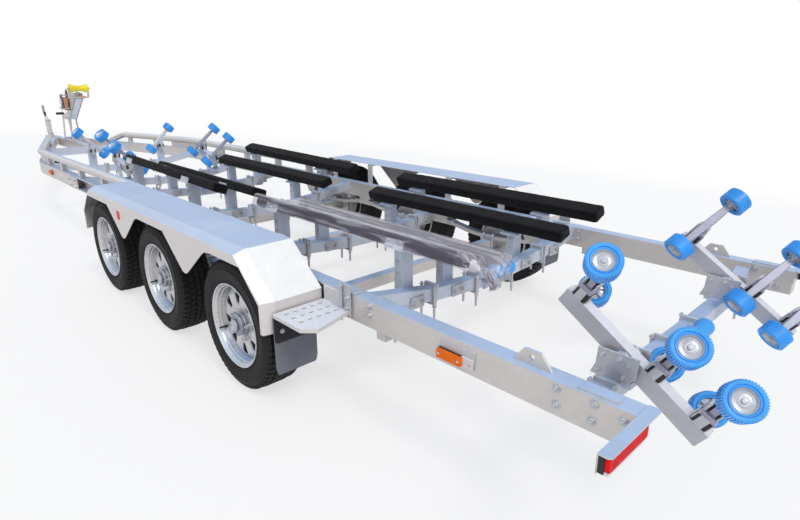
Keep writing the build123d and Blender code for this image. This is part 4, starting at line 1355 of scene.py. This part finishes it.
def makeTailLamp(s):
    shape = newShape()
    wide, tall = s["outside"] - s["inside"], s["high"] - s["low"]
    middle, centre = (s["outside"] + s["inside"]) / 2, s["low"] + tall / 2
    seat = s["base"] - s["holder"]
    # back, face, inset, cut off below and above, corner
    layers = [(s["base"], seat, 0.0002, 0.0, 0.0, 0.006), (seat, s["face"], 0.0022, 0.0085, 0.0, 0.006),
              (seat, s["face"] + 0.0006, 0.0026, 0.0, tall - s["strip"], 0.002)]
    ribWide, shorter, ribThick = s["rib"]
    for sign in (1, -1):
        for mat, (back, face, inset, low, high, corner) in enumerate(layers):
            outline = roundedRect(wide - 2 * inset, tall - 2 * inset - low - high, corner, 4)
            spot = (ahead((back + face) / 2), sign * middle, centre + (low - high) / 2)
            half = (back - face) / 2
            prism(shape, outline, -half, half, placeAt(spot, (-1, 0, 0), (0, 1, 0)), 0.0014, mat)
        for k in range(s["ribs"]):  # prisms moulded down the lens
            y = s["inside"] + s["ribMargin"] + (wide - 2 * s["ribMargin"]) * (k + 0.5) / s["ribs"]
            place = placeAt((ahead(s["face"]) - 0.0002, sign * y, centre + 0.004), (-1, 0, 0), (0, 1, 0))
            bar(shape, (ribWide, tall - shorter, ribThick), place, 0.0006, 1)
    return buildPiece("tailLampSet", shape, [blackNylon, redLens, clearLens], 30)


markerSettings = {
    "layers": [  # ahead, z, width, height, how far off the rail, thickness, material, corner
        (-1.105, 0.500, 0.158, 0.058, 0.0003, 0.0032, 0, 0.012),
        (-1.1545, 0.478, 0.050, 0.040, 0.0036, 0.0060, 3, 0.003),
        (-1.0810, 0.4775, 0.114, 0.0385, 0.0036, 0.0055, 2, 0.005),
        (-1.0810, 0.4775, 0.110, 0.0345, 0.0090, 0.0125, 1, 0.0055),
        (4.1600, 0.490, 0.100, 0.040, 0.0003, 0.0060, 2, 0.006),
        (4.1600, 0.490, 0.094, 0.034, 0.0060, 0.0145, 1, 0.006),
    ],
    "screws": [(-1.0380, 0.0210, 0.4775, 0.34), (-1.1240, 0.0210, 0.4775, 0.34),
               (-1.1650, 0.0096, 0.478, 0.45)],
    "reflector": (1.292, 1.1352, 0.606),
    "reflectorSize": (0.040, 0.050, 0.003, 3),
}


def makeMarkers(s):
    # side lamps in their holders, and the reflectors on the fenders
    shape, screws = newShape(), []
    for sign in (1, -1):
        for d, z, wide, tall, off, thick, mat, corner in s["layers"]:
            place = placeAt((ahead(d), sign * (railOut + off + thick / 2), z), (0, sign, 0))
            prism(shape, roundedRect(wide, tall, corner, 4), -thick / 2, thick / 2, place, 0.001, mat)
        for d, off, z, size in s["screws"]:
            screws.append((ahead(d), sign * (railOut + off), z, (0, sign, 0), size))
        d, y, z = s["reflector"]
        place = placeAt((ahead(d), sign * y, z), (0, sign, 0))
        prism(shape, roundedRect(*s["reflectorSize"]), -0.0012, 0.0016, place, 0.0006, 4)
    materials = [zincPlate, orangeLens, blackNylon, zincBright, redLens]
    return buildPiece("markerSet", shape, materials, 30), screws


flapSettings = {
    "inside": 0.892,
    "outside": 1.099,
    "top": 0.461,
    "backingLow": 0.345,
    "low": 0.196,
    "face": -0.3500,
    "thick": 0.0045,
    "bow": 0.0035,
    "narrowing": (0.86, 0.10),  # where it starts, and its share at the foot
    "across": 18,
    "down": 22,
    "backing": -0.3562,
    "backingThick": 0.0018,
    "bolts": [(0.985, 0.420), (0.940, 0.400), (1.040, 0.432), (0.925, 0.440), (1.065, 0.395)],
    "boltFace": -0.3580,
}


def flapSheet(s, sign):
    # bowed rubber, as two layers of points and the rim between them
    wide, middle = s["outside"] - s["inside"], (s["outside"] + s["inside"]) / 2
    across, down = s["across"], s["down"]
    start, most = s["narrowing"]
    verts, faces = [], []
    for layer in (0.0, s["thick"]):
        for r in range(down + 1):
            v = r / down
            narrow = 1.0 - most * (max(0.0, v - start) / (1.0 - start)) ** 2
            for c in range(across + 1):
                u = c / across * 2 - 1
                bow = s["bow"] * math.sin(v * 2.6) * (1 - 0.6 * u * u) * min(1.0, v * 3)
                verts.append((ahead(s["face"]) - bow + layer, sign * (middle + u * wide / 2 * narrow),
                              s["top"] - (s["top"] - s["low"]) * v))
    count = across + 1
    layerSize = count * (down + 1)
    for r in range(down):
        for c in range(across):
            a = r * count + c
            quad = [a, a + 1, a + count + 1, a + count]
            faces += [quad, [layerSize + i for i in quad[::-1]]]
    rim = list(range(count)) + [r * count + across for r in range(1, down + 1)]
    rim += [down * count + c for c in range(across - 1, -1, -1)]
    rim += [r * count for r in range(down - 1, 0, -1)]
    faces += [[a, layerSize + a, layerSize + b, b] for a, b in zip(rim, rim[1:] + rim[:1])]
    return verts, faces


def makeFlaps(s):
    shape, bolts = newShape(), []
    wide, middle = s["outside"] - s["inside"], (s["outside"] + s["inside"]) / 2
    tall, thick = s["top"] - s["backingLow"], s["backingThick"]
    for sign in (1, -1):
        put(shape, *flapSheet(s, sign))
        spot = (ahead(s["backing"]), sign * middle, s["backingLow"] + tall / 2)
        place = placeAt(spot, (-1, 0, 0), (0, 1, 0))
        prism(shape, roundedRect(wide + 0.002, tall, 0.016, 5), -thick, thick, place, 0.0008, 1)
        bolts += [(ahead(s["boltFace"]), sign * y, z, (-1, 0, 0), 0.66) for y, z in s["bolts"]]
    return buildPiece("mudFlapPair", shape, [flapRubber, flapBacking], 40), bolts


ready(makeTailLamp(lampSettings), "chassis", "lamp_red", "tail_lamps")
markers, markerScrews = makeMarkers(markerSettings)
ready(markers, "chassis", "lamp_orange", "side_lamps")
addBolts("markerScrews", "chassis", markerScrews)
flaps, flapBolts = makeFlaps(flapSettings)
ready(flaps, "chassis", "flap_rubber", "mud_flaps")
addBolts("flapBolts", "chassis", flapBolts)
print("lamps and mud flaps made")

# winch, bow roller, coupling, hand brake and jockey wheel
bowSettings = {
    "ahead": 5.958,
    "z": 1.250,
    "half": 0.104,
    "radius": 0.053,
    "waist": 0.031,
    "bore": 0.0125,
    "shoulder": 0.016,  # width of the straight band at each end
    "rows": 13,
}


def makeBowRoller(s):
    shape = newShape()
    half, r, waist = s["half"], s["radius"], s["waist"]
    waisted = half - s["shoulder"]
    end = [(r, half - 0.004), (r - 0.004, half), (r * 0.62, half), (r * 0.55, half - 0.0005),
           (s["bore"], half - 0.0005)][::-1]
    middle = []
    for k in range(s["rows"]):
        share = 2 * k / (s["rows"] - 1) - 1
        middle.append((waist + (r - 0.001 - waist) * abs(share) ** 1.7, share * waisted))
    profile = [(a, -b) for a, b in end] + middle + end[::-1]
    lathe(shape, profile, placeAt((ahead(s["ahead"]), 0, s["z"]), (0, 1, 0)), 40, 0, True)
    return buildPiece("bowRollerBody", shape, [yellowRoller], 35)


def grip(shape, start, end, radius, rings, mat=0):
    # moulded handle with finger rings, rounded at both ends
    start, end = Vector(start), Vector(end)
    length = (end - start).length
    profile = [(0.0, 0.0), (radius * 0.7, 0.0), (radius, radius * 0.3)]
    half = (length - radius) / rings / 2
    for k in range(rings):
        mid = radius * 0.5 + (length - radius) * (k + 0.5) / rings
        profile += [(radius, mid - half * 0.6), (radius * 0.90, mid - half * 0.25),
                    (radius * 0.90, mid + half * 0.25), (radius, mid + half * 0.6)]
    profile += [(radius, length - radius * 0.3), (radius * 0.7, length), (0.0, length)]
    lathe(shape, profile, placeAt(start, end - start), 20, mat)


winchSettings = {
    "drum": (6.360, 1.080),  # ahead, and height
    "thick": 0.0025,
    "sides": [  # how far to the right, and the outline ahead and up
        (0.0530, [(6.276, 0.976), (6.398, 0.976), (6.403, 1.030), (6.403, 1.140), (6.384, 1.212),
                  (6.352, 1.234), (6.300, 1.230), (6.272, 1.170)]),
        (0.1210, [(6.284, 0.986), (6.392, 0.986), (6.402, 1.030), (6.402, 1.130), (6.376, 1.176),
                  (6.296, 1.172), (6.276, 1.120)]),
    ],
    "strapRoll": [(0.012, 0.0560), (0.0590, 0.0560), (0.0590, 0.0590), (0.050, 0.0590), (0.050, 0.0600),
                  (0.0560, 0.0600), (0.0575, 0.0615), (0.0575, 0.1130), (0.0560, 0.1145), (0.050, 0.1145),
                  (0.050, 0.1155), (0.0590, 0.1155), (0.0590, 0.1180), (0.012, 0.1180)],
    "strap": (0.0030, 0.048, 0.130),
    "gear": [(0.010, 0.1240), (0.0440, 0.1240), (0.0450, 0.1250), (0.0450, 0.1290), (0.0440, 0.1300),
             (0.010, 0.1300)],
    "teeth": 34,
    "tooth": (0.0050, 0.0046, 0.0058),
    "toothAt": (0.0468, 0, 0.1270),
    "axleNut": [(0.0, 0.124), (0.011, 0.124), (0.011, 0.1335), (0.0085, 0.1355), (0.0, 0.1355)],
    "spacers": [(6.292, 0.996), (6.384, 0.996), (6.306, 1.160), (6.366, 1.166)],
    "shaft": (6.330, 1.010),
    "shaftProfile": [(0.0, 0.0500), (0.0090, 0.0500), (0.0090, 0.1560), (0.0140, 0.1560), (0.0140, 0.1575),
                     (0.0125, 0.1580), (0.0, 0.1580)],
    "crankEnd": (6.245, 0.938),
    "crankY": 0.150,
    "gripY": (0.146, 0.236),
    "strapEnd": [((0.058, 0.052, 0.024), -0.050), ((0.030, 0.040, 0.034), -0.046)],
}


def makeWinch(s):
    # two painted side plates, the drum with its rolled strap, gear, spacers and crank
    shape = newShape()
    x, z = ahead(s["drum"][0]), s["drum"][1]
    drum = placeAt((x, 0, z), (0, 1, 0))
    for y, outline in s["sides"]:
        sheet = [(ahead(d), h) for d, h in outline]
        prism(shape, sheet, -y - s["thick"], -y + s["thick"], placeAt((0, 0, 0), (0, -1, 0)), 0.0010)
    lathe(shape, s["strapRoll"], drum, 40, 1)
    bar(shape, s["strap"], placeAt((x - 0.0560, 0.0870, z - 0.045), (0.10, 0, -1)), 0.0008, 1)
    lathe(shape, s["gear"], drum, 40, 2)
    for k in range(s["teeth"]):
        place = drum @ spun(2 * math.pi * k / s["teeth"]) @ Matrix.Translation(s["toothAt"])
        bar(shape, s["tooth"], place, 0.0006, 2)
    lathe(shape, s["axleNut"], drum, 6, 2)
    for d, h in s["spacers"]:
        rod(shape, 0.0055, 0.0500, 0.1270, placeAt((ahead(d), 0, h), (0, 1, 0)), 12, 2)
    (shaftAt, shaftZ), (crankAt, crankZ) = s["shaft"], s["crankEnd"]
    lathe(shape, s["shaftProfile"], placeAt((ahead(shaftAt), 0, shaftZ), (0, 1, 0)), 20, 2)
    low = Vector((ahead(crankAt), s["crankY"], crankZ))
    high = Vector((ahead(shaftAt), s["crankY"], shaftZ))
    crank = placeAt((low + high) / 2, high - low, (0, 1, 0))
    bar(shape, (0.0060, 0.018, (high - low).length + 0.014), crank, 0.0012, 2)
    near, far = s["gripY"]
    grip(shape, (low.x, near, low.z), (low.x, far, low.z), 0.0158, 6, 3)
    for size, y in s["strapEnd"]:  # made fast under the bow roller
        bar(shape, size, placeAt((ahead(6.015), y, 1.1405)), 0.003, 1)
    return buildPiece("winchSet", shape, [winchPaint, strapWeb, boltZinc, gripRubber], 30)


postPlateSettings = {
    "top": (5.998, 1.127),
    "foot": (6.446, 0.846),
    "wide": 0.0792,
    "thick": 0.0040,
    "holes": [(6.150, 1.130, 0.030), (6.300, 1.020, 0.026)],  # ahead, height, radius
    "face": 0.0478,
    "proud": 0.0505,
    "rim": 0.004,
}


def makePostPlates(s):
    # folded plate between the cheeks of the winch post, and rims of the holes in the cheeks
    shape = newShape()
    top, foot = [Vector((ahead(d), 0, z)) for d, z in (s["top"], s["foot"])]
    slope = placeAt((top + foot) / 2, foot - top, (0, 1, 0))
    bar(shape, (s["wide"], s["thick"], (foot - top).length - 0.006), slope, 0.001)
    face, proud = s["face"], s["proud"]
    for sign in (1, -1):
        for d, z, r in s["holes"]:
            inner = r - s["rim"]
            profile = [(inner, face), (r, face), (r, proud - 0.0005), (r - 0.001, proud), (inner, proud)]
            lathe(shape, profile, placeAt((ahead(d), 0, z), (0, sign, 0)), 28, 0, True)
    return buildPiece("postPlate", shape, [postZinc], 30)


jockeySettings = {
    "ahead": 7.440,
    "y": 0.086,
    "trail": 0.042,
    "wheelZ": 0.100,
    "tyre": [(0.1000, 0.0010), (0.0965, 0.0020), (0.0965, 0.0050), (0.0985, 0.0060), (0.0985, 0.0150),
             (0.0955, 0.022), (0.088, 0.0285), (0.078, 0.0285), (0.073, 0.024)],
    "disc": [(0.0092, 0.0315), (0.026, 0.0315), (0.030, 0.0285), (0.030, 0.018), (0.040, 0.010),
             (0.060, 0.008), (0.071, 0.018), (0.0765, 0.0285), (0.0785, 0.0285), (0.0755, 0.018)],
    "ribs": 6,
    "rib": (0.030, 0.0045, 0.006),
    "ribAt": (0.046, 0.0125),
    "band": [(0.0335, 0.011), (0.0342, 0.009)],  # outer edge of a clamp band
    "bandBore": 0.0302,
    "bands": (0.425, 0.600, 0.780),
    "crankGrip": (0.104, 0.838, 0.9015),
}
brakeSettings = {
    "gripLow": (7.716, 0.860),
    "gripHigh": (7.738, 0.985),
    "gripY": 0.057,
    "lever": (0.012, 0.006, 0.150),
    "leverAt": (7.690, 0.067, 0.700),
    "teeth": 7,
    "tooth": (0.009, 0.006, 0.009),
    "toothAt": (7.654, 0.0655, 0.560),
    "toothStep": (0.008, 0.010),
}


def makeHandles(s, j):
    # hand brake grip and ratchet, with the grip and clamp bands of the jockey leg
    shape = newShape()
    low, high = [Vector((ahead(d), s["gripY"], z)) for d, z in (s["gripLow"], s["gripHigh"])]
    lift = (high - low).normalized()
    grip(shape, low + lift * 0.004, high + lift * 0.001, 0.0168, 7, 2)
    jx, jy = ahead(j["ahead"]), j["y"]
    off, foot, top = j["crankGrip"]
    grip(shape, (jx + off, jy, foot), (jx + off, jy, top), 0.0140, 5)
    d, y, z = s["leverAt"]
    bar(shape, s["lever"], placeAt((ahead(d), y, z), (0.2, 0, 1)), 0.001, 1)
    d, y, z = s["toothAt"]
    along, rise = s["toothStep"]
    for k in range(s["teeth"]):  # ratchet of the hand brake
        place = placeAt((ahead(d) + along * k, y, z + rise * k), (0, 1, 0), (1, 0, 1))
        bar(shape, s["tooth"], place, 0.001, 1)
    bore, edge = j["bandBore"], j["band"]
    profile = [(bore, -0.011)] + [(a, -b) for a, b in edge] + edge[::-1] + [(bore, 0.011)]
    for z in j["bands"]:
        lathe(shape, profile, placeAt((jx, jy, z)), 32, 1, True)
    return buildPiece("noseHandles", shape, [gripRubber, boltZinc, gripGrey], 30)


def makeJockeyWheel(s):
    shape = newShape()
    place = placeAt((ahead(s["ahead"]) - s["trail"], s["y"], s["wheelZ"]), (0, 1, 0))
    lathe(shape, [(a, -b) for a, b in s["tyre"][::-1]] + s["tyre"], place, 56, 0, True)
    lathe(shape, [(a, -b) for a, b in s["disc"]] + s["disc"][::-1], place, 44, 1, True)
    out, off = s["ribAt"]
    for k in range(s["ribs"]):
        turned = place @ spun(2 * math.pi * k / s["ribs"])
        for face in (off, -off):
            bar(shape, s["rib"], turned @ Matrix.Translation((out, 0, face)), 0.001, 1)
    return buildPiece("jockeyWheelSet", shape, [tyreRubber, wheelZinc], 35)


boltTable = {
    "drawbarTop": ((6.408, 6.882), (-0.034, 0.034), 0.554),  # ahead, y, height
    "coupling": ((7.590, 7.660), (0.462, 0.520), 0.052, 0.542),  # ahead, heights and y of its sides, its top
    "postFoot": (6.475, 0.115, 0.048, 0.862),  # the hindmost, their step, y, height
    "postTop": (6.235, -0.048, (1.135, 1.170)),  # ahead, y, heights
    "bowEnd": 0.016,  # beyond the roller's end
    "winchFace": 0.1235,
    "brake": (7.610, 0.040, (0.470, 0.520)),  # ahead, y, heights
    "springEyes": ((-0.335, 0.350, 0.510, 1.210, 1.370, 2.055), 0.830, 0.776, 0.396),  # ahead, y, y, height
    "keelMounts": [(-1.590, 0.462), (-0.670, 0.486), (2.475, 0.486)],
    "keelY": 0.086,
}


def noseBolts(s):
    # rows of (x, y, z, facing, size)
    def bothSides(spots, y, size):
        return [(ahead(d), sign * y, z, (0, sign, 0), size) for d, z in spots for sign in (1, -1)]

    along, across, z = s["drawbarTop"]
    rows = [(ahead(d), y, z, (0, 0, 1), 0.8) for d in along for y in across]
    along, heights, y, top = s["coupling"]
    rows += bothSides([(d, z) for d in along for z in heights], y, 0.8)
    rows += [(ahead(d), 0.0, top, (0, 0, 1), 0.8) for d in along]
    start, step, y, z = s["postFoot"]
    rows += bothSides([(start + step * k, z) for k in range(3)], y, 0.7)
    d, y, heights = s["postTop"]
    rows += [(ahead(d), y, z, (0, -1, 0), 0.7) for z in heights]
    rows += bothSides([(bowSettings["ahead"], bowSettings["z"])], bowSettings["half"] + s["bowEnd"], 0.9)
    rows += [(ahead(d), s["winchFace"], z, (0, 1, 0), 0.55) for d, z in winchSettings["spacers"]]
    d, y, heights = s["brake"]
    rows += [(ahead(d), y, z, (0, 1, 0), 0.6) for z in heights]
    along, outer, inner, z = s["springEyes"]
    for d in along:
        for sign in (1, -1):
            rows += [(ahead(d), sign * outer, z, (0, sign, 0), 0.75),
                     (ahead(d), sign * inner, z, (0, -sign, 0), 0.75)]
    return rows + bothSides(s["keelMounts"], s["keelY"], 0.7)


ready(makeBowRoller(bowSettings), "bow_roller", "roller_yellow", "bow_roller")
ready(makeWinch(winchSettings), "chassis", "winch_black", "winch")
ready(makePostPlates(postPlateSettings), "chassis", "galvanised_steel")
ready(makeHandles(brakeSettings, jockeySettings), "chassis", "handle_black")
ready(makeJockeyWheel(jockeySettings), "jockey_wheel", "tyre_rubber", "jockey_wheel")
addBolts("noseBolts", "chassis", noseBolts(boltTable))
print("winch, bow roller and handles made")

# packing film over the left rear pair of bunks
filmSettings = {
    "front": 0.640,
    "tail": -1.005,
    "bunkFront": 0.612,
    "bunkBack": -0.880,
    "gatherFrom": -0.875,
    "gatherOver": 0.130,
    "gatherAt": (0.520, 0.655),
    "overFront": 0.028,
    "rows": 170,
    "columns": 44,
    "sag": 0.016,
    "flat": (0.52, 1.66),
    "bunks": [  # y, height at the back, its rise to the front, tilt, spots as (out, up) on the section
        (0.548, 0.706, 0.002, 22.0, ((0.0540, -0.034), (0.0545, 0.0335), (-0.0535, 0.0345))),
        (0.278, 0.642, 0.004, 18.0, ((0.0540, 0.0340), (-0.0545, 0.0340), (-0.0540, -0.030))),
    ],
}


def filmSection(distance, settings):
    # the way over both bunks, from the near side down to the far side
    back = settings["bunkBack"]
    share = (distance - back) / (settings["bunkFront"] - back)
    corners = []
    for y, z, rise, tilt, spots in settings["bunks"]:
        c, s = math.cos(math.radians(tilt)), math.sin(math.radians(tilt))
        corners += [(y + out * c - up * s, z + rise * share + out * s + up * c) for out, up in spots]
    return corners


def alongPath(points, share):
    lengths = [math.dist(a, b) for a, b in zip(points, points[1:])]
    target = share * sum(lengths)
    for i, length in enumerate(lengths):
        if target <= length or i == len(lengths) - 1:
            t = min(1.0, target / length)
            a, b = points[i], points[i + 1]
            return (a[0] + (b[0] - a[0]) * t, a[1] + (b[1] - a[1]) * t), i, t
        target -= length


def filmPoint(distance, c, section, s):
    past = max(0.0, (s["gatherFrom"] - distance) / s["gatherOver"])
    (y, z), span, t = alongPath(section, c / s["columns"])
    long = noise.noise(Vector((distance * 2.2, c * 0.55, 3.0)))
    fine = noise.noise(Vector((distance * 9.0, c * 0.9, 8.0)))
    crumple = noise.noise(Vector((distance * 12.0, y * 30.0, z * 22.0)))
    lift = 0.0012 + 0.0030 * abs(long) + 0.0022 * abs(fine) + 0.0008 * abs(crumple)
    if span == 2:  # the free stretch between the bunks
        belly = 4 * t * (1 - t)
        z -= s["sag"] * belly - 0.011 * belly * long - 0.004 * belly * crumple
        y += 0.004 * belly * fine
    elif span in (0, 4):
        y += lift if span == 0 else -lift
    else:
        z += lift
    z -= 0.006 * max(0.0, (distance - s["bunkFront"]) / s["overFront"])
    if past > 0:  # gathered to a twist behind the bunks
        pull = min(1.0, past) ** 1.35
        middleY, middleZ = s["gatherAt"]
        gy, gz = middleY + 0.06 * noise.noise(Vector((past * 3, c * 0.3, 1.0))), middleZ - 0.02 * past
        keep = 1 - 0.93 * pull
        y = gy + (y - gy) * keep + 0.010 * crumple * pull
        z = gz + (z - gz) * keep - 0.030 * pull * pull + 0.008 * fine * pull
    return ahead(distance) + 0.004 * crumple, y, z


def makeFilm(s):
    verts, faces = [], []
    rows, count = s["rows"], s["columns"] + 1
    for r in range(rows + 1):
        distance = s["front"] + (s["tail"] - s["front"]) * r / rows
        section = filmSection(max(min(distance, s["bunkFront"]), s["bunkBack"]), s)
        verts += [filmPoint(distance, c, section, s) for c in range(count)]
    for r in range(rows):
        for a in range(r * count, r * count + count - 1):
            faces.append([a, a + count, a + count + 1, a + 1])
    shape = newShape()
    put(shape, verts, faces)
    return buildPiece("packingFilm", shape, [packingFilm], 180, False)


film = makeFilm(filmSettings)
ready(film, "chassis", "bunk_carpet")
print("film area", round(sum(face.area for face in film.data.polygons), 3))
print("packing film made")

# camera, floor and light
cameraSettings = {
    "place": (-5.2268, 2.1462, 1.3866),
    "yaw": -0.764,
    "pitch": -0.3197,
    "roll": -0.0013,
    "lens": 24.92,
    "sensor": 36.0,
}


def placeCamera(s):
    data = bpy.data.cameras.new("view")
    data.lens = s["lens"]
    data.sensor_width = s["sensor"]
    camera = addObject("view", data)
    yaw, pitch, roll = s["yaw"], s["pitch"], s["roll"]
    forward = Vector((math.cos(pitch) * math.cos(yaw), math.cos(pitch) * math.sin(yaw), math.sin(pitch)))
    right = forward.cross(Vector((0, 0, 1))).normalized()
    up = right.cross(forward)
    level = right * math.cos(roll) + up * math.sin(roll)
    upright = up * math.cos(roll) - right * math.sin(roll)
    turn = Matrix((level, upright, -forward)).transposed().to_4x4()
    camera.matrix_world = Matrix.Translation(s["place"]) @ turn
    bpy.context.scene.camera = camera


def rayShare(tree, strengths):
    # how much of the plain white backdrop each kind of ray sees
    path = tree.nodes.new("ShaderNodeLightPath")
    total = None
    for name, share in strengths.items():
        part = calc(tree, "MULTIPLY", path.outputs[name], share)
        total = part if total is None else calc(tree, "MAXIMUM", total, part)
    return total


floorSettings = {
    "half": 60,
    "colour": (0.90, 0.90, 0.91, 1),
    "shares": {"Is Camera Ray": 0.66, "Is Glossy Ray": 0.3, "Is Transmission Ray": 0.3},
    "reach": (9.5, 4.2),  # where the floor starts to fade into the backdrop, along and across
}


def makeFloor(s):
    mesh, half = bpy.data.meshes.new("floor"), s["half"]
    corners = [(-half, -half, 0), (half, -half, 0), (half, half, 0), (-half, half, 0)]
    mesh.from_pydata(corners, [], [(0, 1, 2, 3)])
    floor = addObject("floor", mesh)
    material, tree, shader, place = startMaterial("floorPaper", 0.0, 0.9, Specular_IOR_Level=0.1)
    shader.inputs["Base Color"].default_value = s["colour"]
    glow = addNode(tree, "ShaderNodeEmission", {"Color": (1, 1, 1, 1), "Strength": 1.0})
    share = rayShare(tree, s["shares"])
    long, wide = s["reach"]
    flat = stretched(tree, place, (1.0 / long, 1.0 / wide, 0.0))
    reach = addNode(tree, "ShaderNodeVectorMath", {0: flat}, operation="LENGTH").outputs["Value"]
    fade = remap(tree, reach, 0.75, 1.6, 0.0, 1.0, True)
    seen = calc(tree, "MULTIPLY", fade, tree.nodes["Light Path"].outputs["Is Camera Ray"])
    share = calc(tree, "MAXIMUM", share, seen)
    mixed = addNode(tree, "ShaderNodeMixShader", {0: share, 1: shader.outputs[0], 2: glow.outputs[0]})
    tree.links.new(mixed.outputs[0], tree.nodes["Material Output"].inputs["Surface"])
    mesh.materials.append(material)


worldSettings = {
    "level": (1.0, 0.985, 0.97, 1),
    "overhead": (0.84, 0.91, 1.0, 1),
    "strength": 0.62,
    "shares": {"Is Camera Ray": 1.0, "Is Transmission Ray": 0.6},
}


def makeWorld(s):
    world = bpy.data.worlds.new("studio")
    bpy.context.scene.world = world
    world.use_nodes = True
    tree = world.node_tree
    tree.nodes.clear()
    way = tree.nodes.new("ShaderNodeTexCoord").outputs["Generated"]
    skyward = addNode(tree, "ShaderNodeSeparateXYZ", {0: way}).outputs["Z"]
    shade = mixColour(tree, remap(tree, skyward, 0.0, 0.8, 0.0, 1.0, True), s["level"], s["overhead"])
    soft = addNode(tree, "ShaderNodeBackground", {"Color": shade, "Strength": s["strength"]})
    plain = addNode(tree, "ShaderNodeBackground", {"Color": (1, 1, 1, 1), "Strength": 1.0})
    share = rayShare(tree, s["shares"])
    mixed = addNode(tree, "ShaderNodeMixShader", {0: share, 1: soft.outputs[0], 2: plain.outputs[0]})
    addNode(tree, "ShaderNodeOutputWorld", {"Surface": mixed.outputs[0]})


def addSun(name, direction, strength, angle, tint):
    data = bpy.data.lights.new(name, "SUN")
    data.energy = strength
    data.angle = math.radians(angle)
    data.color = tint
    lamp = addObject(name, data)
    lamp.rotation_mode = "QUATERNION"
    lamp.rotation_quaternion = Vector(direction).to_track_quat("Z", "Y")


placeCamera(cameraSettings)
makeFloor(floorSettings)
makeWorld(worldSettings)
addSun("keyLight", (-0.62, 0.10, 0.72), 1.35, 18.0, (1.0, 0.975, 0.94))
addSun("fillLight", (-0.2, 0.9, 0.45), 0.45, 60.0, (0.97, 0.98, 1.0))
bpy.context.scene.view_settings.view_transform = "Standard"
print("camera, floor and light placed")
